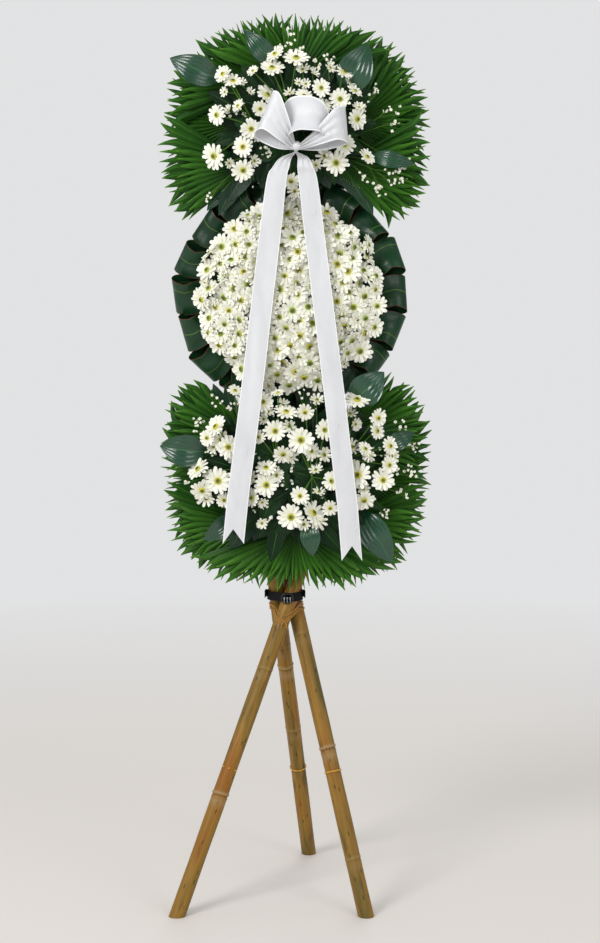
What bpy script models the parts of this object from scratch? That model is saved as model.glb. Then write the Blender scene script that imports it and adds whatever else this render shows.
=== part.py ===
"""Funeral flower stand on a lashed bamboo tripod.

A mast rises from the crotch of three bamboo legs and carries three holders of wet
flower foam. The upper and the lower holder are ringed with fan palm leaves and
filled with sprays of daisies. The middle one is a dome of daisies in a ring of
folded broad leaves. A white ribbon hangs in front of all three.

Metres, +Z up. The front of the stand faces -Y. Before the last step x = 0 and
y = 0 are the middle of the stand as it was laid out, and the floor is z = 0.
"""
import math

import bpy
import bmesh
import numpy as np

# Gap between pieces that touch
SEAT_GAP = 0.0003

# How the photograph looks at the stand, to turn a place in it into metres
VIEW_DISTANCE = 4.4255
VIEW_HEIGHT = 1.4335
VIEW_FOCAL_PIXELS = 85.0 / 36.0 * 943.0
VIEW_CENTRE_COLUMN = 300.0
VIEW_CENTRE_ROW = 471.5
HORIZON_ROW = 182.0
VIEW_SIDE_OFFSET = 0.008
VIEW_TILT = math.atan((VIEW_CENTRE_ROW - HORIZON_ROW) / VIEW_FOCAL_PIXELS)

# Bamboo tripod
CULM_RADIUS = 0.0155
CULM_SIDES = 12
CULM_TOP = 0.685
NODE_SWELL = 1.07
NODE_HALF_LENGTH = 0.006
CROSSING_HEIGHT = 0.585
# name: (foot x, foot y, x and y at the crossing, heights of the culm's nodes)
LEGS = {
    "bamboo_leg_left": (-0.234, -0.190, -0.0190, -0.0235, (0.230, 0.468)),
    "bamboo_leg_right": (0.138, -0.190, -0.0025, 0.0095, (0.106, 0.313, 0.530)),
    "bamboo_leg_back": (0.027, 0.225, -0.0365, 0.0090, (0.307, 0.497)),
}
LEG_BAND_HEIGHTS = {"bamboo_leg_right": 0.268, "bamboo_leg_back": 0.212}

# Lashing cord and strap round the legs
CORD_RADIUS = 0.0020
LASHING_HEIGHT = 0.572
LASHING_PITCH = 0.0046
STRAP_HEIGHT = 0.612
STRAP_WIDTH = 0.018
STRAP_THICKNESS = 0.0016
BUCKLE_SIZE = (0.026, 0.006, 0.022)

# Mast
MAST_RADIUS = 0.010
MAST_X = -0.0220
MAST_Y = 0.003
MAST_FOOT = 0.6435
MAST_TOP = 1.600

# Foam holders, with their fronts towards -Y
FOAM_BACK = MAST_Y - MAST_RADIUS - SEAT_GAP
FOAM_FRONT = -0.085
UPPER_CENTRE = (0.000, 1.543)
UPPER_FOAM = (0.190, 0.130)
LOWER_CENTRE = (0.000, 0.850)
LOWER_FOAM = (0.230, 0.150)
DISC_CENTRE = (-0.011, 1.214)
DISC_FOAM_RADIUS = 0.165
DISC_FOAM_FRONT = -0.060
PEG_DEPTH = 0.022

# Fan palm leaves
FAN_LAYERS = (-0.068, -0.046, -0.024)
FAN_BLADES = 13
FAN_SPREAD = math.radians(132.0)
FAN_BEND = 0.006
FAN_THICKNESS = 0.0010
FAN_PLEAT = 0.0045
HUB_STAND_OFF = 0.018
UPPER_REACH = (0.272, 0.212)
LOWER_REACH = (0.276, 0.224)
PANEL_SQUARENESS = 2.7
# (direction in degrees, layer) of each leaf round its foam, layer 0 in front
UPPER_FANS = ((-40, 0), (2, 1), (46, 2), (90, 0), (134, 1), (178, 2), (220, 0))
LOWER_FANS = ((-90, 0), (-44, 1), (-2, 2), (42, 0), (138, 0), (182, 2), (224, 1))
RING_KEEP_OUT = 0.240
LEG_TOPS_KEEP_OUT = (-0.075, 0.045, 0.695)

# Ring of folded broad leaves
FOLDED_LEAVES = 18
FOLD_FILL = 0.93
FOLD_THICKNESS = 0.0012
FOLD_PATH = ((0.0, -0.050), (0.034, -0.0560), (0.055, -0.049), (0.0625, -0.035),
             (0.055, -0.021), (0.034, -0.0125), (0.0, -0.016))

# Daisies
DOME_CORE_RADIUS = 0.163
DOME_CORE_HEIGHT = 0.042
DOME_CORE_STEP = 0.0085
DOME_DAISIES = 42
DOME_DAISY_RADIUS = 0.0262
DOME_SPREAD = 0.174
PETALS = 8
DOME_PETALS = 7
NOTCH_SHARE = 0.46
EYE_RISE = 0.20
HEAD_ROOT = 0.16
SPRAY_DEPTH = -0.110
BRANCH_DEPTH = -0.101
STEM_RADIUS = 0.0024
BRANCH_RADIUS = 0.0014
LEAFLET_LENGTH = 0.032
LEAFLET_WIDTH = 0.022
LEAFLETS = 4

# Sprays: root column and row, then (column, row, radius in pixels) of each bloom
UPPER_SPRAYS = {
    "daisy_spray_upper_left": ((256, 127), (
        (223, 74, 9), (233, 81, 9), (217, 115, 10), (214, 156, 12), (251, 129, 10),
        (243, 147, 10), (243, 170, 11), (238, 106, 7))),
    "daisy_spray_upper_middle": ((289, 108), (
        (267, 95, 11), (260, 109, 8), (272, 68, 11), (275, 54, 9), (296, 58, 12),
        (253, 71, 6), (291, 181, 9))),
    "daisy_spray_upper_right": ((333, 128), (
        (304, 96, 9), (321, 88, 9), (340, 99, 10), (324, 106, 8), (344, 72, 9),
        (355, 91, 8), (357, 119, 11), (336, 163, 12), (345, 145, 10), (367, 157, 9))),
}
LOWER_SPRAYS = {
    "daisy_spray_lower_left": ((245, 468), (
        (216, 427, 12), (207, 438, 8), (228, 447, 11), (198, 469, 11), (218, 481, 13),
        (202, 490, 11), (224, 500, 8), (235, 391, 8))),
    "daisy_spray_lower_middle": ((277, 458), (
        (263, 402, 10), (278, 393, 7), (275, 431, 11), (283, 454, 10), (266, 468, 10),
        (266, 485, 12), (252, 498, 9), (259, 437, 7))),
    "daisy_spray_lower_centre": ((312, 476), (
        (286, 412, 11), (305, 412, 9), (301, 440, 13), (325, 430, 10), (311, 451, 9),
        (332, 481, 10), (300, 496, 9), (291, 517, 13), (313, 513, 13), (330, 508, 8))),
    "daisy_spray_lower_right": ((345, 458), (
        (357, 400, 12), (378, 418, 9), (377, 431, 9), (365, 449, 8), (358, 475, 13),
        (390, 446, 9), (389, 465, 9), (383, 480, 11), (364, 500, 11))),
}

# Baby's breath: root place, then the places of its little heads
BREATH_HEAD_RADIUS = 0.0050
BREATH_DEPTHS = {"babys_breath_upper": -0.098, "babys_breath_lower": -0.090}
BREATH_TWIGS = {
    "babys_breath_upper": ((344, 136), (
        (375, 90), (389, 110), (394, 122), (402, 166), (397, 181), (382, 191))),
    "babys_breath_lower": ((354, 480), (
        (404, 426), (412, 448), (409, 472), (403, 494), (384, 512))),
}

# Large glossy leaves: root, blade start and tip in the photograph, and half width
GLOSSY_LEAVES = {
    "glossy_leaf_upper": ((248, 101), (219, 80), (170, 58), 0.028),
    "glossy_leaf_lower": ((354, 504), (361, 511), (392, 562), 0.030),
}
GLOSSY_DEPTH = -0.079

# Ribbon
RIBBON_THICKNESS = 0.0008
KNOT_PLACE = (296, 146)
KNOT_BACK = -0.1400
KNOT_FRONT = -0.1640
KNOT_RADIUS = 0.0095
TAIL_DEPTH = -0.1340
TAIL_ROOT_DEPTH = -0.1500
TAIL_ROOT_HALF_WIDTH = 0.0014
TAIL_ROOT_LENGTH = 0.0030
# (row, column of the middle, half width in pixels) down each tail
TAIL_LEFT = ((158, 285.8, 5.5), (167, 281.0, 8.0), (180, 276.5, 9.5), (230, 270.5, 10.3),
             (315, 260.5, 10.4), (400, 250.5, 10.5), (470, 242.0, 10.5), (529, 235.0, 10.5))
TAIL_RIGHT = ((158, 303.2, 5.2), (167, 305.2, 7.5), (180, 308.0, 9.0), (230, 314.0, 9.6),
              (315, 324.5, 9.8), (400, 335.0, 10.0), (480, 344.5, 10.0), (546, 352.0, 10.0))
TAIL_NOTCH_ROWS = 15.0
PICK_RADIUS = 0.0016

rng = np.random.default_rng(62)


def clear_scene():
    for old in list(bpy.data.objects):
        bpy.data.objects.remove(old, do_unlink=True)


def photo_place(column, row, depth):
    """World point on the plane y = depth that shows at a column and row of the photograph."""
    along = VIEW_DISTANCE + depth
    angle = VIEW_TILT + math.atan((row - VIEW_CENTRE_ROW) / VIEW_FOCAL_PIXELS)
    height = VIEW_HEIGHT - along * math.tan(angle)
    away = along * math.cos(VIEW_TILT) + (VIEW_HEIGHT - height) * math.sin(VIEW_TILT)
    across = (column - VIEW_CENTRE_COLUMN) / VIEW_FOCAL_PIXELS * away + VIEW_SIDE_OFFSET
    return np.array([across, depth, height])


def pixels(count):
    """Real length of a number of pixels near the middle of the stand."""
    return count * 0.0020


def make_material(name, colour, roughness, metallic=0.0):
    material = bpy.data.materials.new(name)
    material.use_nodes = True
    shader = material.node_tree.nodes["Principled BSDF"]
    shader.inputs["Base Color"].default_value = (*colour, 1.0)
    shader.inputs["Roughness"].default_value = roughness
    shader.inputs["Metallic"].default_value = metallic
    return material


MATERIAL_LOOKS = {
    "bamboo": ((0.36, 0.23, 0.08), 0.45),
    "cord": ((0.50, 0.28, 0.09), 0.80),
    "webbing": ((0.012, 0.013, 0.014), 0.60),
    "foam": ((0.03, 0.09, 0.04), 0.90),
    "palm": ((0.035, 0.13, 0.02), 0.45),
    "broad_leaf": ((0.012, 0.05, 0.02), 0.30),
    "petal": ((0.86, 0.85, 0.78), 0.55),
    "ribbon": ((0.86, 0.87, 0.90), 0.35),
    "mast": ((0.015, 0.02, 0.015), 0.50),
}


def add_object(name, points, faces, look):
    """One closed mesh with its faces turned outwards."""
    mesh = bpy.data.meshes.new(name)
    mesh.from_pydata([tuple(map(float, point)) for point in points], [], faces)
    shell = bmesh.new()
    shell.from_mesh(mesh)
    bmesh.ops.recalc_face_normals(shell, faces=shell.faces)
    shell.to_mesh(mesh)
    shell.free()
    made = bpy.data.objects.new(name, mesh)
    bpy.context.scene.collection.objects.link(made)
    mesh.materials.append(bpy.data.materials[look])
    return made


def apply_boolean(target, operation, others, solver="EXACT"):
    """One Boolean with a whole collection, applied, with the collection's objects removed."""
    group = bpy.data.collections.new(target.name + "_group")
    bpy.context.scene.collection.children.link(group)
    for other in others:
        bpy.context.scene.collection.objects.unlink(other)
        group.objects.link(other)
    cut = target.modifiers.new("join", "BOOLEAN")
    cut.operation = operation
    cut.operand_type = "COLLECTION"
    cut.collection = group
    cut.solver = solver
    bpy.context.view_layer.update()
    depsgraph = bpy.context.evaluated_depsgraph_get()
    joined = bpy.data.meshes.new_from_object(target.evaluated_get(depsgraph))
    target.modifiers.clear()
    target.data = joined
    for other in others:
        bpy.data.objects.remove(other, do_unlink=True)
    bpy.data.collections.remove(group)
    return target


def unit(vector):
    vector = np.asarray(vector, dtype=float)
    return vector / np.linalg.norm(vector)


def side_frame(direction, up=(0.0, -1.0, 0.0)):
    """Two unit vectors square to a direction: sideways, and as near to up as can be."""
    direction = unit(direction)
    side = np.cross(direction, up)
    if np.linalg.norm(side) < 1e-4:
        side = np.cross(direction, (0.0, 0.0, 1.0))
    side = unit(side)
    return side, np.cross(side, direction)


def polygon(sides, radius, turn=0.0):
    angles = np.arange(sides) * 2.0 * math.pi / sides + turn
    return np.column_stack((np.cos(angles), np.sin(angles))) * radius


def prism(start, end, outline):
    """A straight bar from start to end with the outline's section; returns points and faces."""
    start = np.asarray(start, dtype=float)
    end = np.asarray(end, dtype=float)
    side, up = side_frame(end - start)
    ring = np.outer(outline[:, 0], side) + np.outer(outline[:, 1], up)
    points = np.vstack((start + ring, end + ring))
    count = len(outline)
    faces = [(i, (i + 1) % count, count + (i + 1) % count, count + i) for i in range(count)]
    faces.append(tuple(range(count))[::-1])
    faces.append(tuple(range(count, 2 * count)))
    return points, faces


def sheet_solid(grid, thickness, closed=False):
    """A thin closed solid round a grid of points, split into triangles alike on both faces."""
    grid = np.asarray(grid, dtype=float)
    rows, columns = grid.shape[:2]
    along = np.gradient(grid, axis=0)
    if closed:
        along = np.roll(grid, -1, axis=0) - np.roll(grid, 1, axis=0)
    across = np.gradient(grid, axis=1)
    normal = np.cross(along, across)
    normal /= np.linalg.norm(normal, axis=2, keepdims=True)
    thick = np.broadcast_to(np.asarray(thickness, dtype=float), (rows, columns))[..., None]
    points = np.vstack(((grid + normal * thick / 2).reshape(-1, 3),
                        (grid - normal * thick / 2).reshape(-1, 3)))
    half = rows * columns
    faces = []
    last_row = rows if closed else rows - 1
    for i in range(last_row):
        k = (i + 1) % rows
        for j in range(columns - 1):
            a, b = i * columns + j, i * columns + j + 1
            c, d = k * columns + j + 1, k * columns + j
            faces += [(a, b, c), (a, c, d), (half + a, half + c, half + b), (half + a, half + d, half + c)]
        for j in (0, columns - 1):
            a, d = i * columns + j, k * columns + j
            faces += [(a, d, half + d), (a, half + d, half + a)]
    if not closed:
        for i in (0, rows - 1):
            for j in range(columns - 1):
                a, b = i * columns + j, i * columns + j + 1
                faces += [(a, b, half + b), (a, half + b, half + a)]
    return points, faces


def leg_point(name, height):
    """The middle of a leg at a height, on its straight line from the foot."""
    foot_x, foot_y, cross_x, cross_y, _ = LEGS[name]
    share = height / CROSSING_HEIGHT
    return np.array([foot_x + (cross_x - foot_x) * share, foot_y + (cross_y - foot_y) * share, height])


def add_leg(name):
    """A bamboo culm: round rings along its axis, swollen at the nodes, cut flat at the floor."""
    foot = leg_point(name, 0.0)
    top = leg_point(name, CULM_TOP)
    axis = unit(top - foot)
    side, up = side_frame(axis)
    stations = [(0.0, CULM_RADIUS)]
    for height in LEGS[name][4]:
        middle = height / axis[2]
        stations += [(middle - NODE_HALF_LENGTH, CULM_RADIUS),
                     (middle - NODE_HALF_LENGTH / 4, CULM_RADIUS * NODE_SWELL),
                     (middle + NODE_HALF_LENGTH / 2, CULM_RADIUS * NODE_SWELL * 0.98),
                     (middle + NODE_HALF_LENGTH, CULM_RADIUS)]
    stations.append((np.linalg.norm(top - foot), CULM_RADIUS))
    circle = polygon(CULM_SIDES, 1.0)
    points = []
    for distance, radius in stations:
        ring = foot + axis * distance + (np.outer(circle[:, 0], side) + np.outer(circle[:, 1], up)) * radius
        if distance == 0.0:
            ring = ring - np.outer(ring[:, 2] / axis[2], axis)
        points.append(ring)
    faces = []
    for level in range(len(stations) - 1):
        low = level * CULM_SIDES
        for i in range(CULM_SIDES):
            k = (i + 1) % CULM_SIDES
            faces.append((low + i, low + k, low + CULM_SIDES + k, low + CULM_SIDES + i))
    faces.append(tuple(range(CULM_SIDES))[::-1])
    last = (len(stations) - 1) * CULM_SIDES
    faces.append(tuple(range(last, last + CULM_SIDES)))
    leg = add_object(name, np.vstack(points), faces, "bamboo")
    leg.data.shade_smooth()
    leg.data.set_sharp_from_angle(angle=math.radians(40))


def girdle(low, high, grow, stations):
    """Points round all three legs between two heights, grow outside them.

    A leaning culm cuts a level plane in an ellipse. For each of the evenly turned
    outward directions, the point is the one of all the ellipses that lies furthest out.
    """
    turns = np.arange(stations) * 2.0 * math.pi / stations
    outwards = np.column_stack((np.cos(turns), np.sin(turns)))
    spare = 1.0 / math.cos(math.pi / stations)
    furthest = np.full(stations, -1.0)
    points = np.zeros((stations, 2))
    for name in LEGS:
        lean = unit(leg_point(name, CULM_TOP) - leg_point(name, 0.0))
        long_way = unit(lean[:2])
        short_way = np.array([-long_way[1], long_way[0]])
        long_part = outwards @ long_way * CULM_RADIUS / lean[2]
        short_part = outwards @ short_way * CULM_RADIUS
        reach = np.hypot(long_part, short_part)
        rim = (np.outer(long_part * CULM_RADIUS / lean[2], long_way)
               + np.outer(short_part * CULM_RADIUS, short_way)) / reach[:, None]
        for height in np.linspace(low, high, 5):
            place = leg_point(name, height)[:2] + rim * spare + outwards * grow * spare
            out = np.sum(place * outwards, axis=1)
            better = out > furthest
            points[better] = place[better]
            furthest[better] = out[better]
    return points


def cord_ring(path, radius, sides):
    """A cord closed on itself along a ring of points."""
    count = len(path)
    ahead = np.roll(path, -1, axis=0) - np.roll(path, 1, axis=0)
    ahead /= np.linalg.norm(ahead, axis=1, keepdims=True)
    out = np.cross(ahead, (0.0, 0.0, 1.0))
    out /= np.linalg.norm(out, axis=1, keepdims=True)
    up = np.cross(out, ahead)
    section = polygon(sides, radius)
    points = (path[:, None, :] + section[None, :, :1] * out[:, None, :]
              + section[None, :, 1:] * up[:, None, :]).reshape(-1, 3)
    faces = []
    for i in range(count):
        k = (i + 1) % count
        for j in range(sides):
            m = (j + 1) % sides
            faces.append((i * sides + j, i * sides + m, k * sides + m, k * sides + j))
    return points, faces


def add_lashing():
    """Two turns that dip to the right in front, and one that rises, fused where they cross."""
    turns = ((-LASHING_PITCH, 0.30), (0.0, 0.30), (0.0, -0.34))
    strands = []
    for number, (lift, slope) in enumerate(turns):
        flat = girdle(LASHING_HEIGHT - 0.018, LASHING_HEIGHT + 0.018, CORD_RADIUS + SEAT_GAP, 18)
        middle = flat.mean(axis=0)
        front = flat[:, 1] < middle[1]
        rise = -(flat[:, 0] - middle[0]) * slope * np.where(front, 1.0, -1.0)
        path = np.column_stack((flat, LASHING_HEIGHT + lift + rise))
        points, faces = cord_ring(path, CORD_RADIUS, 4)
        strands.append(add_object("leg_lashing_turn_%d" % number, points, faces, "cord"))
    lashing = strands[0]
    lashing.name = "leg_lashing"
    apply_boolean(lashing, "UNION", strands[1:])


def add_leg_bands():
    """A few turns of string as one thin band round a leg."""
    for leg, height in LEG_BAND_HEIGHTS.items():
        axis = unit(leg_point(leg, CULM_TOP) - leg_point(leg, 0.0))
        side, up = side_frame(axis)
        circle = polygon(CULM_SIDES, 1.0)
        inner = CULM_RADIUS + SEAT_GAP
        outer = inner + 0.0016
        middle = leg_point(leg, height)
        profile = ((inner, -0.003), (inner, 0.003), (outer, 0.0022), (outer, -0.0022))
        points = []
        for radius, shift in profile:
            ring = (np.outer(circle[:, 0], side) + np.outer(circle[:, 1], up)) * radius
            points.append(middle + axis * shift + ring)
        faces = []
        for i in range(4):
            k = (i + 1) % 4
            for j in range(CULM_SIDES):
                m = (j + 1) % CULM_SIDES
                faces.append((i * CULM_SIDES + j, i * CULM_SIDES + m, k * CULM_SIDES + m, k * CULM_SIDES + j))
        add_object(leg.replace("bamboo_leg", "leg_band"), np.vstack(points), faces, "cord")


def add_strap():
    """Webbing pulled round the three legs above the lashing, with a buckle on its front."""
    reach = STRAP_WIDTH / 2 + 0.004
    flat = girdle(STRAP_HEIGHT - reach, STRAP_HEIGHT + reach, SEAT_GAP + STRAP_THICKNESS / 2, 26)
    dip = 0.004 * (flat[:, 1] - flat[:, 1].max()) / np.ptp(flat[:, 1])
    middle = STRAP_HEIGHT + dip
    half = STRAP_WIDTH / 2
    grid = np.stack([np.column_stack((flat, middle + half * side)) for side in (-1.0, 1.0)], axis=1)
    points, faces = sheet_solid(grid, STRAP_THICKNESS, closed=True)
    add_object("mast_strap", points, faces, "webbing")
    front = flat[np.argmin(flat[:, 1])]
    back_face = front[1] - STRAP_THICKNESS / 2 - SEAT_GAP
    width, depth, height = BUCKLE_SIZE
    low = np.array([front[0] - width / 2, back_face - depth, STRAP_HEIGHT - 0.004 - height / 2])
    add_block("strap_buckle", low, low + BUCKLE_SIZE, "webbing", 0.0015)


def add_block(name, low, high, look, bevel):
    """A box with its edges bevelled."""
    shell = bmesh.new()
    bmesh.ops.create_cube(shell, size=1.0)
    low = np.asarray(low)
    high = np.asarray(high)
    for vertex in shell.verts:
        vertex.co = (low + high) / 2 + np.array(vertex.co) * (high - low)
    bmesh.ops.bevel(shell, geom=list(shell.edges), offset=bevel, segments=1, affect="EDGES")
    mesh = bpy.data.meshes.new(name)
    shell.to_mesh(mesh)
    shell.free()
    block = bpy.data.objects.new(name, mesh)
    bpy.context.scene.collection.objects.link(block)
    mesh.materials.append(bpy.data.materials[look])
    return block


def add_mast():
    points, faces = prism((MAST_X, MAST_Y, MAST_FOOT), (MAST_X, MAST_Y, MAST_TOP), polygon(12, MAST_RADIUS))
    mast = add_object("mast", points, faces, "mast")
    mast.data.shade_smooth()
    mast.data.set_sharp_from_angle(angle=math.radians(40))


def add_foam_block(name, centre, size):
    low = (centre[0] - size[0] / 2, FOAM_FRONT, centre[1] - size[1] / 2)
    high = (centre[0] + size[0] / 2, FOAM_BACK, centre[1] + size[1] / 2)
    return add_block(name, low, high, "foam", 0.006)


def add_foam_disc():
    """A disc with one flat side for each folded leaf."""
    half_turn = math.pi / FOLDED_LEAVES
    corner = DISC_FOAM_RADIUS / math.cos(half_turn)
    outline = polygon(FOLDED_LEAVES, corner, half_turn)
    points = []
    for depth in (FOAM_BACK, DISC_FOAM_FRONT):
        for across, up in outline:
            points.append((DISC_CENTRE[0] + across, depth, DISC_CENTRE[1] + up))
    count = FOLDED_LEAVES
    faces = [(i, (i + 1) % count, count + (i + 1) % count, count + i) for i in range(count)]
    faces.append(tuple(range(count)))
    faces.append(tuple(range(count, 2 * count))[::-1])
    return add_object("foam_disc", points, faces, "foam")


def add_socket(cutters, start, end, outline):
    """A cutter for the plain hole that a stem or a leaf stalk stands in."""
    start = np.asarray(start)
    end = np.asarray(end)
    deeper = start - unit(end - start) * SEAT_GAP * 2
    points, faces = prism(deeper, end, outline)
    cutter = add_object("socket_%d" % len(cutters), points, faces, "foam")
    cutter.hide_render = True
    cutter.display_type = "WIRE"
    cutters.append(cutter)


def block_exit(centre, size, angle):
    """Where a ray from the middle of a foam block leaves its edge."""
    direction = np.array([math.cos(angle), math.sin(angle)])
    reach = min(abs(size[0] / 2 / direction[0]) if abs(direction[0]) > 1e-6 else 9.0,
                abs(size[1] / 2 / direction[1]) if abs(direction[1]) > 1e-6 else 9.0)
    return np.array(centre) + direction * reach, direction


def outline_reach(hub, angle, centre, reach, layer):
    """How far a blade goes from its hub before it meets the panel's rounded-square outline.

    It also stops short of the ring of folded leaves, and behind the front layer of the
    tops of the legs.
    """
    distances = np.linspace(0.02, 0.34, 321)
    across = hub[0] + distances * math.cos(angle)
    up = hub[1] + distances * math.sin(angle)
    share_across = np.abs((across - centre[0]) / reach[0])
    share_up = np.abs((up - centre[1]) / reach[1])
    inside = share_across ** PANEL_SQUARENESS + share_up ** PANEL_SQUARENESS < 1.0
    inside &= np.hypot(across - DISC_CENTRE[0], up - DISC_CENTRE[1]) > RING_KEEP_OUT
    if layer > 0:
        left, right, top = LEG_TOPS_KEEP_OUT
        inside &= (across < left) | (across > right) | (up > top)
    stop = np.argmin(inside)
    return distances[max(stop - 1, 0)]


def add_fan(name, centre, size, reach, degrees, layer_number, cutters):
    """A pleated palm leaf: blades joined in a web near the stalk and free at their points.

    Both faces are split alike. The stalk is a four-sided bar that runs on from the
    leaf's hub into the foam.
    """
    angle = math.radians(degrees)
    layer = FAN_LAYERS[layer_number]
    edge, direction = block_exit(centre, size, angle)
    hub = edge + direction * HUB_STAND_OFF
    valleys = np.linspace(-FAN_SPREAD / 2, FAN_SPREAD / 2, FAN_BLADES + 1) + angle
    ridges = (valleys[1:] + valleys[:-1]) / 2
    lengths = np.array([outline_reach(hub, ridge, centre, reach, layer_number) for ridge in ridges])
    lengths *= rng.uniform(0.93, 1.02, FAN_BLADES)
    joined = np.minimum(np.append(lengths, lengths[-1]), np.insert(lengths, 0, lengths[0])) * 0.64

    def leaf_point(distance, turn, lift):
        backward = FAN_BEND * (distance / 0.2) ** 2
        return np.array([hub[0] + distance * math.cos(turn), layer + backward - lift,
                         hub[1] + distance * math.sin(turn)])

    centres = [leaf_point(0.0, angle, 0.0)]
    centres += [leaf_point(joined[i], valleys[i], -FAN_PLEAT) for i in range(FAN_BLADES + 1)]
    centres += [leaf_point(lengths[i] * 0.70, ridges[i], FAN_PLEAT) for i in range(FAN_BLADES)]
    centres += [leaf_point(lengths[i], ridges[i], rng.uniform(-0.002, 0.003)) for i in range(FAN_BLADES)]
    centres = np.array(centres)
    half = len(centres)
    thick = np.full(half, FAN_THICKNESS / 2)
    thick[0] = 0.0020
    shift = np.outer(thick, (0.0, 1.0, 0.0))
    stalk = np.array([direction[0], 0.0, direction[1]])
    sideways = np.array([-direction[1], 0.0, direction[0]])
    root = np.array([edge[0], layer, edge[1]]) - stalk * PEG_DEPTH
    hub_3d = centres[0]
    extra = [hub_3d + sideways * 0.0025 - stalk * 0.003, hub_3d - sideways * 0.0025 - stalk * 0.003]
    ends = [root - (0.0, 0.0020, 0.0), root + sideways * 0.0025, root + (0.0, 0.0020, 0.0),
            root - sideways * 0.0025]
    points = np.vstack((centres - shift, centres + shift, extra, ends))
    plus, minus = 2 * half, 2 * half + 1
    end_top, end_plus, end_bottom, end_minus = range(2 * half + 2, 2 * half + 6)
    faces = []
    for i in range(FAN_BLADES):
        low, high = 1 + i, 2 + i
        ridge = 2 + FAN_BLADES + i
        tip = 2 + 2 * FAN_BLADES + i
        for a, b, c in ((0, low, ridge), (0, ridge, high), (low, tip, ridge), (ridge, tip, high)):
            faces += [(a, b, c), (half + a, half + c, half + b)]
        for a, b in ((low, tip), (tip, high)):
            faces += [(a, half + a, half + b), (a, half + b, b)]
    first, last = 1, 1 + FAN_BLADES
    faces += [(first, 0, minus), (first, minus, half + first), (half + first, minus, half)]
    faces += [(last, plus, 0), (last, half + last, plus), (half + last, half, plus)]
    faces += [(0, plus, end_plus, end_top), (plus, half, end_bottom, end_plus),
              (half, minus, end_minus, end_bottom), (minus, 0, end_top, end_minus),
              (end_top, end_plus, end_bottom, end_minus)]
    add_object(name, points, faces, "palm")
    diamond = np.array([(0.0032, 0.0), (0.0, 0.0027), (-0.0032, 0.0), (0.0, -0.0027)])
    add_socket(cutters, root, hub_3d - stalk * HUB_STAND_OFF * 0.4, diamond)


def add_fans(prefix, centre, size, reach, places, cutters):
    for number, (degrees, layer_number) in enumerate(places):
        add_fan("%s_%d" % (prefix, number + 1), centre, size, reach, degrees, layer_number, cutters)


def add_folded_leaf(number):
    """A broad leaf folded over, with both ends against one flat side of the foam disc."""
    angle = number * 2.0 * math.pi / FOLDED_LEAVES
    outward = np.array([math.cos(angle), 0.0, math.sin(angle)])
    tangent = np.array([-math.sin(angle), 0.0, math.cos(angle)])
    centre = np.array([DISC_CENTRE[0], 0.0, DISC_CENTRE[1]])
    half_turn = math.tan(math.pi / FOLDED_LEAVES)
    swell = 1.0 + 0.05 * math.sin(number * 2.4)
    grid = []
    for out, depth in FOLD_PATH:
        radius = DISC_FOAM_RADIUS + SEAT_GAP + out * swell
        half_width = FOLD_FILL * radius * half_turn
        row = [centre + outward * radius + tangent * half_width * side + np.array([0.0, depth, 0.0])
               for side in (-1.0, 1.0)]
        grid.append(row)
    points, faces = sheet_solid(grid, FOLD_THICKNESS)
    rim = DISC_FOAM_RADIUS + SEAT_GAP
    outness = (points - centre) @ outward
    points = points + np.outer(np.maximum(rim - outness, 0.0), outward)
    add_object("folded_leaf_%02d" % (number + 1), points, faces, "broad_leaf")


def daisy(centre, facing, radius, petals, turn, cup, root=None):
    """A daisy head as one closed star: raised eye, pointed petals, and a back that meets its root."""
    facing = unit(facing)
    side, up = side_frame(facing, (0.0, 0.0, 1.0))
    step = 2.0 * math.pi / petals
    notch_angles = np.arange(petals) * step + turn
    tip_angles = notch_angles + step / 2

    def ring(angles, distance, lift):
        flat = np.outer(np.cos(angles), side) + np.outer(np.sin(angles), up)
        distance = np.broadcast_to(distance, angles.shape)
        lift = np.broadcast_to(lift, angles.shape)
        return centre + flat * distance[:, None] + np.outer(lift, facing)

    tip_reach = radius * rng.uniform(0.90, 1.06, petals)
    notch = ring(notch_angles, radius * NOTCH_SHARE, cup * 0.3)
    tip = ring(tip_angles, tip_reach, cup + radius * rng.uniform(-0.05, 0.05, petals))
    top = centre + facing * radius * EYE_RISE
    bottom = centre - facing * radius * HEAD_ROOT if root is None else root
    points = np.vstack((top, bottom, notch, tip))
    faces = []
    for i in range(petals):
        k = (i + 1) % petals
        n, n_next = 2 + i, 2 + k
        t = 2 + petals + i
        faces += [(0, n, t), (0, t, n_next), (1, t, n), (1, n_next, t)]
    return points, faces


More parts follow.
